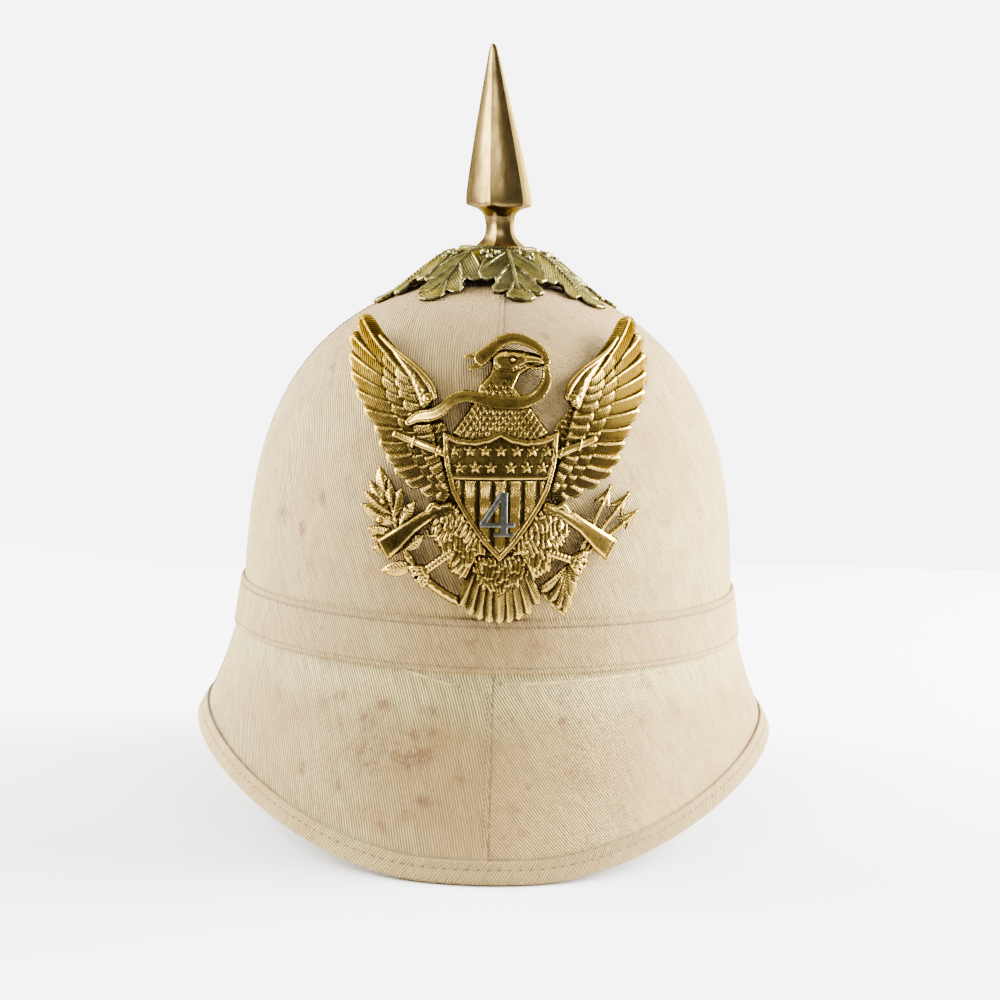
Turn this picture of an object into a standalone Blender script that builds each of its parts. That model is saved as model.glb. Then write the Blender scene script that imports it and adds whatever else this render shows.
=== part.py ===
"""A cork summer helmet with a tall crown, a sloping brim, a cloth band, brass spike and brass eagle plate.

Metres, +Z up, the front towards -Y. The helmet stands on its brim: z = 0 is the flat underside of the
edge binding at the front and the back, and the origin is the middle of the floor plan. The crown and brim
are one lofted shell, the metal relief is a sheet whose height comes from the shapes drawn on it.
"""
from collections import namedtuple
from math import cos, pi, radians, sin, tan

import bpy
import bmesh
import numpy as np
from mathutils import Vector
from mathutils.geometry import delaunay_2d_cdt

# Clearance between pieces that touch
GAP = 0.0003

# Crown, to the outside of its cloth cover
CROWN_HALF_WIDTH = 0.1057
CROWN_FRONT = 0.1230
CROWN_REAR = 0.1260
CROWN_TOP = 0.2220
CROWN_FOOT = 0.0516          # level at which the crown's curve would be upright
CROWN_FULLNESS_UP = 3.5      # exponents of the crown's profile
CROWN_FULLNESS_OUT = 1.99
WALL = 0.0050                # cork with cloth on both sides
VENT_RADIUS = 0.0030         # hole in the top that the spike's screw passes through

# Cloth band round the foot of the crown
BAND_TOP = 0.0920
BAND_HEIGHT = 0.0200
BAND_FLARE = 0.0026          # how far the wall stands out at the band's lower edge
BAND_CLOTH = 0.0015

# Brim, to the outside of its edge binding
BRIM_HALF_WIDTH = 0.1258
BRIM_FRONT = 0.1710
BRIM_REAR = 0.1900
BRIM_CORNER = 1.93           # exponent of the plan: 2 is an ellipse
BRIM_SIDE_RISE = 0.0310
BRIM_LEVEL_SHARE = 0.17      # share of the half width that stays level at front and back
BRIM_RISE_POWER = 1.7
BRIM_HOLLOW = 0.12           # share of its length by which the brim's slope sags
BINDING_WIDTH = 0.0090
BINDING_CLOTH = 0.0010
BINDING_SHIFT = 0.0004       # half of what the binding adds behind more than in front

# Brass leaf base on top of the crown
LEAF_COUNT = 8
LEAF_TURN = radians(12)
LEAF_REACH = 0.0475
LEAF_SHEET = 0.0010
LEAF_RELIEF = 0.0012
LEAF_ARCH = pi / 1.2         # the relief's height along a leaf is the sine of this times the share
LEAF_TIP_GAP = 0.0006
RING_RADIUS = 0.0160
RING_BEAD = 0.0012
RING_TOP = 0.2345
RING_SHEET = 0.0015
LEAF_ROWS = (0.3, 0.6, 0.85)  # shares of a leaf's length that have a row of points

# Spike with six hollow faces, leaning a little to one side
SPIKE_HEIGHT = 0.0875
SPIKE_RADIUS = 0.0147
SPIKE_FLANGE_RADIUS = 0.0120
SPIKE_FLANGE_SHEET = 0.0013
SPIKE_LEAN = radians(3.8)
SPIKE_SHIFT = 0.0012
SPIKE_TURN = radians(-15)
SPIKE_FACE_HOLLOW = 0.08
SPIKE_SCREW_RADIUS = 0.0024

# Stamped eagle plate, bent to a curve of its own
PLATE_HEIGHT = 0.1150
PLATE_SHEET = 0.0009
PLATE_ABOVE_BAND = 0.0005
PLATE_STRAIGHT = 0.0050      # height of the plate's upright foot, above which it leans back
PLATE_SHIFT = 0.0052
PLATE_TURN = radians(1.2)
PLATE_BEND_ACROSS = 0.0850
PLATE_BEND_UP = 0.1400
PLATE_REST = 0.0010          # how far the plate's back stands off the band
PLATE_CLEARANCE = 0.0006     # the least distance from the plate's back to the crown
NUMERAL_SHEET = 0.0008

# Fineness of the facets
ROUND_STEPS = 60
CROWN_ROWS = 10
BRIM_ROWS = 4
LEAF_STEPS = 10

BAND_FOOT = BAND_TOP - BAND_HEIGHT
CROWN_Y = (BRIM_FRONT - BRIM_REAR) / 2 - BINDING_SHIFT
UNIT = PLATE_HEIGHT / 115    # the plate's drawing is 115 units high

# Colour, roughness and metallic value of each material
Finish = namedtuple("Finish", "colour roughness metallic")
CREAM_TWILL = Finish((0.72, 0.62, 0.49), 0.9, 0.0)
BAND_TWILL = Finish((0.70, 0.58, 0.43), 0.9, 0.0)
BINDING_TWILL = Finish((0.68, 0.57, 0.42), 0.9, 0.0)
DULL_BRASS = Finish((0.45, 0.38, 0.17), 0.45, 1.0)
GILT_BRASS = Finish((0.62, 0.45, 0.15), 0.35, 1.0)
ROSY_BRASS = Finish((0.62, 0.45, 0.27), 0.28, 1.0)
GREY_SILVER = Finish((0.42, 0.44, 0.43), 0.45, 1.0)


# Scene helpers

def clear_scene():
    for old in list(bpy.data.objects):
        bpy.data.objects.remove(old)


def make_material(name, finish):
    material = bpy.data.materials.new(name)
    material.use_nodes = True
    shader = material.node_tree.nodes["Principled BSDF"]
    shader.inputs["Base Color"].default_value = (*finish.colour, 1.0)
    shader.inputs["Roughness"].default_value = finish.roughness
    shader.inputs["Metallic"].default_value = finish.metallic
    return material


def add_object(name, points, faces, finish, collection, smooth_angle=30):
    """A mesh object in world coordinates, with its faces turned outwards."""
    mesh = bpy.data.meshes.new(name)
    mesh.from_pydata([tuple(p) for p in points], [], faces)
    work = bmesh.new()
    work.from_mesh(mesh)
    bmesh.ops.triangulate(work, faces=work.faces[:])
    bmesh.ops.recalc_face_normals(work, faces=work.faces[:])
    work.to_mesh(mesh)
    work.free()
    mesh.shade_smooth()
    mesh.set_sharp_from_angle(angle=radians(smooth_angle))
    mesh.materials.append(make_material(name, finish))
    thing = bpy.data.objects.new(name, mesh)
    collection.objects.link(thing)
    return thing


def loft_ring(rows):
    """Faces between rows of points, closed along each row and from the last row back to the first."""
    rows = np.asarray(rows)
    count, steps = rows.shape[:2]
    faces = []
    for i in range(count):
        for j in range(steps):
            here, beside = j, (j + 1) % steps
            faces.append((i * steps + here, i * steps + beside,
                          (i + 1) % count * steps + beside, (i + 1) % count * steps + here))
    return rows.reshape(-1, 3), faces


# Crown and brim

def angles_round(steps=ROUND_STEPS):
    """Angles round the helmet from the front, towards +X."""
    return np.arange(steps) * 2 * pi / steps


def plan(angle, half_width, front, rear, level, power=2.0):
    """A closed curve: half an oval of one length in front and half of another behind."""
    s, c = np.sin(angle), np.cos(angle)
    reach = (np.abs(s) ** power + np.abs(c) ** power) ** (-1 / power)
    length = np.where(c > 0, front, rear)
    y = CROWN_Y - length * c * reach
    return np.stack([half_width * s * reach, y, level + 0 * angle], -1)


def crown_share(level):
    """The crown's width at a level, as a share of its full width."""
    t = np.clip((level - CROWN_FOOT) / (CROWN_TOP - CROWN_FOOT), 0, 1)
    return (1 - t ** CROWN_FULLNESS_UP) ** (1 / CROWN_FULLNESS_OUT)


def crown_level(x, y):
    """The height of the crown's outside above a point of the plan."""
    length = np.where(y < CROWN_Y, CROWN_FRONT, CROWN_REAR)
    out = np.clip(np.hypot(x / CROWN_HALF_WIDTH, (y - CROWN_Y) / length), 0, 1)
    t = (1 - out ** CROWN_FULLNESS_OUT) ** (1 / CROWN_FULLNESS_UP)
    return CROWN_FOOT + (CROWN_TOP - CROWN_FOOT) * t


def brim_rise(angle):
    """How far the brim's edge is above its lowest level."""
    share = np.clip((np.abs(np.sin(angle)) - BRIM_LEVEL_SHARE) / (1 - BRIM_LEVEL_SHARE), 0, 1)
    return BRIM_SIDE_RISE * share ** BRIM_RISE_POWER


def band_ring(angle, level, flare):
    share = crown_share(np.full_like(angle, level))
    return plan(angle, CROWN_HALF_WIDTH * share + flare, CROWN_FRONT * share + flare,
                CROWN_REAR * share + flare, level)


def brim_edge(angle):
    """The brim's own edge, inside the binding."""
    cover = BINDING_CLOTH + GAP
    slant = 2 * cover
    edge = plan(angle, BRIM_HALF_WIDTH - slant, BRIM_FRONT - slant, BRIM_REAR - slant, 0, BRIM_CORNER)
    edge[..., 2] = brim_rise(angle) + cover
    return edge


def brim_length(angle):
    start = band_ring(angle, BAND_FOOT, BAND_FLARE)
    return np.linalg.norm(brim_edge(angle) - start, axis=-1)


def shell_point(angle, s):
    """The outside of the shell: s runs 0 to 1 down the crown, to 2 down the band, to 3 down the brim."""
    s = np.broadcast_to(s, angle.shape)
    vent = VENT_RADIUS / CROWN_HALF_WIDTH
    first = np.arcsin(vent ** (CROWN_FULLNESS_OUT / 2))
    foot_t = (BAND_TOP - CROWN_FOOT) / (CROWN_TOP - CROWN_FOOT)
    last = np.arccos(foot_t ** (CROWN_FULLNESS_UP / 2))
    turn = first + (last - first) * np.clip(s, 0, 1)
    share = np.sin(turn) ** (2 / CROWN_FULLNESS_OUT)
    level = CROWN_FOOT + (CROWN_TOP - CROWN_FOOT) * np.cos(turn) ** (2 / CROWN_FULLNESS_UP)
    crown = plan(angle, CROWN_HALF_WIDTH * share, CROWN_FRONT * share, CROWN_REAR * share, level)
    top = band_ring(angle, BAND_TOP, 0)
    foot = band_ring(angle, BAND_FOOT, BAND_FLARE)
    band = top + (foot - top) * np.clip(s - 1, 0, 1)[..., None]
    edge = brim_edge(angle)
    bend = foot + (edge - foot) * np.array([0.5 - BRIM_HOLLOW, 0.5 - BRIM_HOLLOW, 0.5 + BRIM_HOLLOW])
    t = np.clip(s - 2, 0, 1.2)[..., None]
    brim = (1 - t) ** 2 * foot + 2 * t * (1 - t) * bend + t ** 2 * edge
    return np.where((s <= 1)[..., None], crown, np.where((s <= 2)[..., None], band, brim))


def shell_normal(angle, s):
    """The outward direction of the shell's surface, by differences."""
    step = 0.02
    low, high = np.clip(s - step, 0, 3), np.clip(s + step, 0, 3)
    along = shell_point(angle, high) - shell_point(angle, low)
    across = shell_point(angle + step, s) - shell_point(angle - step, s)
    normal = np.cross(across, along)
    normal *= np.sign(np.sum(normal * [0, 0, 1], -1) + 1e-9)[..., None]
    return normal / np.linalg.norm(normal, axis=-1, keepdims=True)


def shell_offset(angle, s, out):
    """A point at a distance out from the shell's outside; minus is inwards."""
    return shell_point(angle, s) + out * shell_normal(angle, s)


def slid_to_level(angle, out, drop):
    """The brim's edge at a distance out from the surface, slid along the slope to a level below it."""
    end = np.full_like(angle, 3.0)
    near = np.full_like(angle, 2.9)
    here = shell_offset(angle, end, out)
    slope = here - shell_offset(angle, near, out)
    target = brim_edge(angle)[..., 2] - drop
    return here + slope * ((target - here[..., 2]) / slope[..., 2])[..., None]


def binding_start(angle):
    """The value of s at the binding's upper edge."""
    return 3 - BINDING_WIDTH / brim_length(angle)


def build_helmet_body(collection):
    angle = angles_round()
    start = binding_start(angle)
    rows = [np.full_like(angle, s) for s in np.linspace(0, 1, CROWN_ROWS + 1)]
    rows.append(np.full_like(angle, 2.0))
    rows += [2 + (start - 2) * share for share in np.linspace(0, 1, BRIM_ROWS)[1:]]
    outside = [shell_point(angle, s) for s in rows] + [brim_edge(angle)]
    inside = [shell_offset(angle, s, -WALL) for s in rows] + [slid_to_level(angle, -WALL, 0)]
    inside[0][:, :2] = outside[0][:, :2]
    points, faces = loft_ring(outside + inside[::-1])
    return add_object("helmet_body", points, faces, CREAM_TWILL, collection)


def build_hat_band(collection):
    angle = angles_round()
    top, foot = np.full_like(angle, 1.0), np.full_like(angle, 2.0)
    outwards = np.stack([np.sin(angle), -np.cos(angle), 0 * angle], -1)
    inner, outer = GAP * outwards, (GAP + BAND_CLOTH) * outwards
    rows = [shell_point(angle, top) + outer, shell_point(angle, foot) + outer,
            shell_point(angle, foot) + inner, shell_point(angle, top) + inner]
    points, faces = loft_ring(rows)
    return add_object("hat_band", points, faces, BAND_TWILL, collection)


def build_edge_binding(collection):
    angle = angles_round()
    start = binding_start(angle)
    cover = GAP + BINDING_CLOTH
    rows = [shell_offset(angle, start, cover), slid_to_level(angle, cover, cover),
            slid_to_level(angle, -WALL - cover, cover), shell_offset(angle, start, -WALL - cover),
            shell_offset(angle, start, -WALL - GAP), slid_to_level(angle, -WALL - GAP, GAP),
            slid_to_level(angle, GAP, GAP), shell_offset(angle, start, GAP)]
    points, faces = loft_ring(rows)
    return add_object("edge_binding", points, faces, BINDING_TWILL, collection)


# Leaf base

LeafRow = namedtuple("LeafRow", "side reach rise")
# side runs from 0 on the leaf's midrib to 1 at the gap to the next leaf; the others are shares
LEAF_OUTLINE = (
    LeafRow(0.0, 1.00, 1.00),
    LeafRow(0.2, 0.98, 0.35),
    LeafRow(0.4, 0.90, 0.10),
    LeafRow(0.6, 0.94, 0.60),
    LeafRow(0.8, 0.85, 0.35),
    LeafRow(1.0, 0.77, 0.00),
)


def leaf_side(angle):
    """0 on a leaf's midrib and 1 half way to the next leaf."""
    pitch = 2 * pi / LEAF_COUNT
    return np.abs((angle - LEAF_TURN + pitch / 2) % pitch - pitch / 2) / (pitch / 2)


def leaf_lift(radius):
    """How far the leaf sheet stands above the crown: most at the ring, least at the leaves' tips."""
    share = np.clip((radius - RING_RADIUS) / (LEAF_REACH - RING_RADIUS), 0, 1)
    at_ring = RING_TOP - RING_BEAD - CROWN_TOP
    return LEAF_TIP_GAP + (at_ring - LEAF_TIP_GAP) * (1 + np.cos(pi * share)) / 2


def leaf_point(angle, radius, height):
    x, y = radius * np.sin(angle), CROWN_Y - radius * np.cos(angle)
    return np.stack([x, y, crown_level(x, y) + leaf_lift(radius) + height], -1)


def level_ring(angle, radius, level):
    radius = radius + 0 * angle
    return np.stack([radius * np.sin(angle), CROWN_Y - radius * np.cos(angle), level + 0 * angle], -1)


def build_leaf_base(collection):
    angle = LEAF_TURN + np.arange(LEAF_COUNT * LEAF_STEPS) * 2 * pi / (LEAF_COUNT * LEAF_STEPS)
    side = leaf_side(angle)
    sides = [row.side for row in LEAF_OUTLINE]
    reach = LEAF_REACH * np.interp(side, sides, [row.reach for row in LEAF_OUTLINE])
    rise = LEAF_RELIEF * np.interp(side, sides, [row.rise for row in LEAF_OUTLINE])
    hole = SPIKE_SCREW_RADIUS + GAP
    seat = RING_RADIUS - RING_BEAD * 2
    floor = RING_TOP - RING_BEAD
    top = [level_ring(angle, hole, floor),
           level_ring(angle, seat, floor),
           level_ring(angle, RING_RADIUS - RING_BEAD, RING_TOP),
           level_ring(angle, RING_RADIUS, floor)]
    for share in LEAF_ROWS:
        radius = RING_RADIUS + (reach - RING_RADIUS) * share
        top.append(leaf_point(angle, radius, LEAF_SHEET + rise * sin(LEAF_ARCH * share)))
    top.append(leaf_point(angle, reach, LEAF_SHEET))
    under = [leaf_point(angle, reach, 0)]
    for share in LEAF_ROWS[1::-1]:
        under.append(leaf_point(angle, RING_RADIUS + (reach - RING_RADIUS) * share, 0))
    under += [level_ring(angle, RING_RADIUS - LEAF_SHEET, floor - RING_SHEET),
              level_ring(angle, hole, floor - RING_SHEET)]
    points, faces = loft_ring(top + under)
    return add_object("leaf_base", points, faces, DULL_BRASS, collection, 20)


# Spike

SpikeRow = namedtuple("SpikeRow", "height radius")
# Shares of the spike's height, and of its largest radius
SPIKE_PROFILE = (
    SpikeRow(0.030, 0.66),
    SpikeRow(0.060, 0.50),
    SpikeRow(0.100, 0.43),
    SpikeRow(0.135, 0.43),
    SpikeRow(0.165, 0.54),
    SpikeRow(0.185, 0.74),
    SpikeRow(0.192, 0.95),
    SpikeRow(0.208, 1.00),
    SpikeRow(0.290, 0.965),
    SpikeRow(0.520, 0.70),
    SpikeRow(0.760, 0.40),
    SpikeRow(0.960, 0.145),
    SpikeRow(0.992, 0.09),
)


def fluted_ring(radius, hollow, height):
    """A six-sided section with hollow faces, four points to a face."""
    points = []
    for corner in range(6):
        for part in range(4):
            share = part / 4
            a = pi / 3 * (corner + share)
            flat = cos(pi / 6) / cos(pi / 3 * (share - 0.5))
            dish = hollow * 4 * share * (1 - share)
            r = radius * flat * (1 - dish)
            points.append((r * sin(a + SPIKE_TURN), -r * cos(a + SPIKE_TURN), height))
    return points


def round_ring(radius, height, steps=24):
    turn = [2 * pi * i / steps + SPIKE_TURN for i in range(steps)]
    return [(radius * sin(a), -radius * cos(a), height) for a in turn]


def build_spike(collection):
    flange = SPIKE_FLANGE_SHEET
    seat = RING_TOP - RING_BEAD + GAP
    screw = seat - (CROWN_TOP - WALL)
    rows = [round_ring(SPIKE_SCREW_RADIUS, -screw), round_ring(SPIKE_SCREW_RADIUS, 0)]
    upper = [round_ring(SPIKE_FLANGE_RADIUS, 0), round_ring(SPIKE_FLANGE_RADIUS, flange)]
    for row in SPIKE_PROFILE:
        upper.append(fluted_ring(SPIKE_RADIUS * row.radius, SPIKE_FACE_HOLLOW, row.height * SPIKE_HEIGHT))
    for ring in upper:
        rows.append([(x + SPIKE_SHIFT - tan(SPIKE_LEAN) * max(0, z - flange), y, z) for x, y, z in ring])
    count, steps = len(rows), len(rows[0])
    points = [(x, y + CROWN_Y, z + seat) for ring in rows for x, y, z in ring]
    faces = []
    for i in range(count - 1):
        for j in range(steps):
            k = (j + 1) % steps
            faces.append((i * steps + j, i * steps + k, (i + 1) * steps + k, (i + 1) * steps + j))
    faces.append(tuple(range(steps)))
    tip = len(points)
    points.append((SPIKE_SHIFT - tan(SPIKE_LEAN) * (SPIKE_HEIGHT - flange), CROWN_Y, seat + SPIKE_HEIGHT))
    last = (count - 1) * steps
    faces += [(last + j, last + (j + 1) % steps, tip) for j in range(steps)]
    return add_object("spike", points, faces, ROSY_BRASS, collection, 25)


# Relief sheets: flat drawings cut out of sheet, raised by a height and bent to a curve

Shape = namedtuple("Shape", "outline steps ridges valleys")
EDGE = 0.5                   # width of the slope round a raised shape, in the drawing's units
VALLEY_SHARE = 0.35          # height of the low lines between feathers, as a share of the high ones
CELL = 8.0                   # spacing of the points that let the sheet bend


def flat_shape(outline, height, edge=EDGE):
    """A raised shape with a level top."""
    return Shape(outline, ((0, 0), (edge, height)), (), ())


def ridged_shape(outline, height, ridges, valleys=()):
    """A raised shape that slopes up to its ridges and down to its valleys."""
    return Shape(outline, ((0, 0), (EDGE, height)), ridges, valleys)


def closed(outline):
    return list(outline) + [outline[0]]


def distance_to_lines(points, lines):
    """The least distance from each point to any of some lines."""
    least = np.full(len(points), 1e9)
    for line in lines:
        for a, b in zip(line[:-1], line[1:]):
            a, ab = np.array(a, float), np.subtract(b, a)
            t = np.clip((points - a) @ ab / max(ab @ ab, 1e-9), 0, 1)
            least = np.minimum(least, np.linalg.norm(points - a - t[:, None] * ab, axis=1))
    return least


def is_inside(points, outline):
    """Whether each point is inside a closed outline, by counting the sides that a ray crosses."""
    x, z = points[:, 0], points[:, 1]
    crossed = np.zeros(len(points), bool)
    for (x0, z0), (x1, z1) in zip(outline, list(outline[1:]) + [outline[0]]):
        spans = (z0 > z) != (z1 > z)
        run = (x1 - x0) / (z1 - z0) if z1 != z0 else 0
        crossed ^= spans & (x < x0 + (z - z0) * run)
    return crossed


def shape_height(points, shape):
    """The height that one shape gives each point."""
    edge = distance_to_lines(points, [closed(shape.outline)])
    height = np.interp(edge, [s[0] for s in shape.steps], [s[1] for s in shape.steps])
    if shape.ridges:
        low = np.minimum(edge, distance_to_lines(points, shape.valleys)) if shape.valleys else edge
        ridge = distance_to_lines(points, shape.ridges)
        height = height * (VALLEY_SHARE + (1 - VALLEY_SHARE) * low / (low + ridge + 1e-9))
    return np.where(is_inside(points, shape.outline) & (edge > 0.01), height, 0)


def inset(outline, distance):
    """A closed outline moved inwards by a distance, corner by corner."""
    corners = np.array(outline, float)
    before, after = np.roll(corners, 1, 0), np.roll(corners, -1, 0)
    turns = np.sum(corners[:, 0] * after[:, 1] - after[:, 0] * corners[:, 1])
    way = 1 if turns > 0 else -1
    into = (corners - before) / np.linalg.norm(corners - before, axis=1)[:, None]
    away = (after - corners) / np.linalg.norm(after - corners, axis=1)[:, None]
    left = np.stack([-into[:, 1] - away[:, 1], into[:, 0] + away[:, 0]], 1) * way
    length = np.maximum(np.linalg.norm(left, axis=1), 0.9)
    return [tuple(p) for p in corners + left / (length ** 2)[:, None] * 2 * distance]


def strip(path, widths):
    """The outline of a strip along a path, with a width at each of its points."""
    path = np.array(path, float)
    along = np.gradient(path, axis=0)
    along /= np.linalg.norm(along, axis=1)[:, None]
    side = np.stack([-along[:, 1], along[:, 0]], 1) * np.array(widths)[:, None] / 2
    return [tuple(p) for p in path + side] + [tuple(p) for p in (path - side)[::-1]]


def blade(root, tip, width):
    """A leaf or feather with a point at each end, and its ridge."""
    root, tip = np.array(root, float), np.array(tip, float)
    along = tip - root
    side = np.array([-along[1], along[0]]) / np.linalg.norm(along) * width / 2
    outline = [root, root + along * 0.3 + side * 0.9, root + along * 0.65 + side, tip,
               root + along * 0.65 - side, root + along * 0.3 - side * 0.9]
    return [tuple(p) for p in outline], [[tuple(root + along * 0.12), tuple(root + along * 0.9)]]


def anticlockwise(outline):
    """The outline in anticlockwise order."""
    corners = np.array(outline, float)
    after = np.roll(corners, -1, 0)
    turns = np.sum(corners[:, 0] * after[:, 1] - after[:, 0] * corners[:, 1])
    return list(outline) if turns > 0 else list(outline)[::-1]


def cut_triangles(outlines, lines, points, holes=()):
    """The triangles inside any of the outlines and outside the holes, with the lines along their sides."""
    corners, sides, faces = [], [], []
    for outline in map(anticlockwise, list(outlines) + list(holes)):
        faces.append(list(range(len(corners), len(corners) + len(outline))))
        corners += outline
    for line in lines:
        sides += [(len(corners) + i, len(corners) + i + 1) for i in range(len(line) - 1)]
        corners += line
    corners += [tuple(p) for p in points]
    flat = [Vector((float(p[0]), float(p[1]))) for p in corners]
    found, _, triangles, _, _, sources = delaunay_2d_cdt(flat, sides, faces, 0, 0.02)
    kept = [t for t, source in zip(triangles, sources)
            if source and not any(s >= len(outlines) for s in source)]
    return np.array([(p.x, p.y) for p in found]), kept


def border_of(triangles):
    """The sides that belong to one triangle only, in its direction."""
    sides = {}
    for triangle in triangles:
        for a, b in zip(triangle, list(triangle[1:]) + [triangle[0]]):
            sides[(min(a, b), max(a, b))] = None if (min(a, b), max(a, b)) in sides else (a, b)
    return [side for side in sides.values() if side]


def bending_points(outlines, lines, spacing):
    """A grid of points inside the outlines and clear of all lines."""
    every = np.concatenate([np.array(o) for o in outlines])
    low, high = every.min(0), every.max(0)
    xs, zs = np.arange(low[0], high[0], spacing), np.arange(low[1], high[1], spacing)
    grid = np.stack(np.meshgrid(xs, zs), -1).reshape(-1, 2)
    kept = np.zeros(len(grid), bool)
    for outline in outlines:
        kept |= is_inside(grid, outline)
    clear = distance_to_lines(grid, [closed(o) for o in outlines] + list(lines)) > spacing * 0.25
    return grid[kept & clear]


def relief_sheet(shapes, place, thickness, holes=()):
    """A closed solid: the shapes' joined outline cut from sheet, raised in front and plain behind.

    place(points, heights) puts points of the drawing into the helmet's space.
    """
    outlines = [s.outline for s in shapes]
    lines = [line for s in shapes for line in list(s.ridges) + list(s.valleys)]
    lines += [closed(inset(s.outline, d)) for s in shapes if not s.ridges for d, _ in s.steps[1:]]
    grid = bending_points(outlines, lines, CELL)
    flat, front = cut_triangles(outlines, lines, grid, holes)
    height = np.zeros(len(flat))
    for shape in shapes:
        height = np.maximum(height, shape_height(flat, shape))
    border = border_of(front)
    rim = sorted({i for side in border for i in side})
    place_in_rim = {i: n for n, i in enumerate(rim)}
    rim_points = [tuple(flat[i]) for i in rim]
    rim_sides = [[rim_points[place_in_rim[a]], rim_points[place_in_rim[b]]] for a, b in border]
    back_flat, back = back_triangles(rim_points, [(place_in_rim[a], place_in_rim[b]) for a, b in border],
                                     bending_points(outlines, rim_sides, CELL))
    top = place(flat, thickness * np.ones(len(flat)) + height * UNIT)
    bottom = place(back_flat, np.zeros(len(back_flat)))
    base = len(top)
    faces = [tuple(t) for t in front] + [tuple(base + i for i in t[::-1]) for t in back]
    faces += [(b, a, base + place_in_rim[a], base + place_in_rim[b]) for a, b in border]
    used = sorted({i for f in faces for i in f})
    order = {i: n for n, i in enumerate(used)}
    points = np.concatenate([top, bottom])[used]
    return points, [tuple(order[i] for i in f) for f in faces]


def back_triangles(rim_points, sides, grid):
    """Triangles of the plain back, which keeps the rim's points first and in their order."""
    flat = [Vector((float(p[0]), float(p[1]))) for p in rim_points] + [Vector(tuple(p)) for p in grid]
    found, _, triangles, sources, _, _ = delaunay_2d_cdt(flat, sides, [], 0, 0.001)
    where = {source[0]: i for i, source in enumerate(sources) if source}
    order = [where[i] for i in range(len(flat))]
    back_to = {i: n for n, i in enumerate(order)}
    points = np.array([(found[i].x, found[i].y) for i in order])
    middles = np.array([np.mean([tuple(found[i]) for i in t], 0) for t in triangles])
    crossed = np.zeros(len(middles), bool)
    for a, b in sides:
        (x0, z0), (x1, z1) = rim_points[a], rim_points[b]
        spans = (z0 > middles[:, 1]) != (z1 > middles[:, 1])
        run = (x1 - x0) / (z1 - z0) if z1 != z0 else 0
        crossed ^= spans & (middles[:, 0] < x0 + (middles[:, 1] - z0) * run)
    kept = [[back_to[i] for i in t] for t, keep in zip(triangles, crossed) if keep]
    return points, kept


# Eagle plate: positions and widths are in units of its drawing, from the shield's axis

Feather = namedtuple("Feather", "left right tip_z root_x root_z")
# Tip distances left and right of the axis, the tip's height, and the root's place
WING_FEATHERS = (
    Feather(57.5, 52.5, 114.5, 36.0, 92.0),
    Feather(61.0, 56.5, 107.0, 34.0, 90.0),
    Feather(61.2, 58.3, 99.5, 32.5, 87.0),
    Feather(60.0, 58.5, 92.5, 31.0, 84.0),
    Feather(57.5, 57.5, 85.5, 29.5, 80.5),
    Feather(54.0, 55.0, 78.5, 28.0, 77.0),
    Feather(49.5, 51.5, 72.0, 27.0, 73.5),
    Feather(47.5, 49.0, 66.0, 26.0, 70.0),
    Feather(44.5, 46.8, 60.5, 25.0, 66.5),
    Feather(41.0, 43.5, 55.5, 24.0, 63.0),
    Feather(36.5, 38.5, 51.5, 23.0, 59.5),
    Feather(30.5, 32.0, 48.3, 22.0, 56.0),
    Feather(24.5, 26.0, 46.0, 21.0, 52.0),
)
FEATHER_NOTCH = 1.7
FEATHER_SAG = 0.06
WING_HEIGHT = 1.3

WingPoint = namedtuple("WingPoint", "left right z")
WING_INNER_EDGE = (
    WingPoint(20.0, 20.0, 45.0),
    WingPoint(18.0, 18.0, 60.0),
    WingPoint(21.0, 21.0, 73.0),
    WingPoint(27.0, 27.0, 79.5),
    WingPoint(26.2, 26.0, 84.0),
    WingPoint(28.0, 27.5, 88.5),
    WingPoint(33.2, 32.5, 94.2),
    WingPoint(38.8, 38.8, 98.4),
    WingPoint(43.8, 43.0, 102.0),
    WingPoint(49.0, 46.5, 106.5),
)
SHOULDER = (
    WingPoint(44.0, 42.5, 101.5),
    WingPoint(33.0, 32.3, 93.8),
    WingPoint(28.3, 27.8, 88.3),
    WingPoint(26.7, 26.5, 84.0),
    WingPoint(28.5, 28.0, 80.0),
    WingPoint(34.0, 33.0, 80.5),
    WingPoint(37.5, 37.0, 87.0),
    WingPoint(41.5, 40.5, 94.0),
)
SHOULDER_RIDGE = (WingPoint(42.0, 40.8, 98.0), WingPoint(34.5, 33.8, 90.5), WingPoint(30.5, 30.2, 84.5))
SHOULDER_HEIGHT = 2.3

# Right half of the shield, from the middle of its top to its point
SHIELD_HALF = ((0, 71.9), (5, 69.4), (10.5, 68.3), (16.5, 69.0), (22.5, 71.2), (22.1, 64), (21.4, 58),
               (18.9, 49.2), (15.9, 43.2), (12.2, 37.5), (6.4, 29.4), (0, 22.6))
SHIELD_RIM = 2.3
SHIELD_RIM_ACROSS = 2.9      # the rim's width measured level, where its side slants
SHIELD_RIM_HEIGHT = 3.4
SHIELD_FIELD_HEIGHT = 2.5
CHIEF_Z = 53.2
STRIPE_COUNT = 6
STRIPE_SHARE = 0.713         # of each stripe's pitch that is raised
STRIPE_HEIGHT = 3.0

HEAD_AND_NECK = ((17.8, 95.6), (17.6, 97.6), (13.6, 100.4), (7.6, 101.8), (0.7, 102.2), (-4.4, 100.2),
                 (-3.8, 96.0), (-4.6, 93.0), (-8.3, 88.8), (-12.5, 79.6), (-19.1, 70.6), (-12, 66), (12, 66),
                 (18.7, 70.8), (11.9, 79.8), (5.3, 87.9), (7.4, 92.4), (12.7, 95.6))
NECK_RIDGE = ((9.0, 98.0), (2.0, 97.0), (-1.5, 88.0), (0.0, 74.0))
NECK_HEIGHT = 2.3

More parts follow.
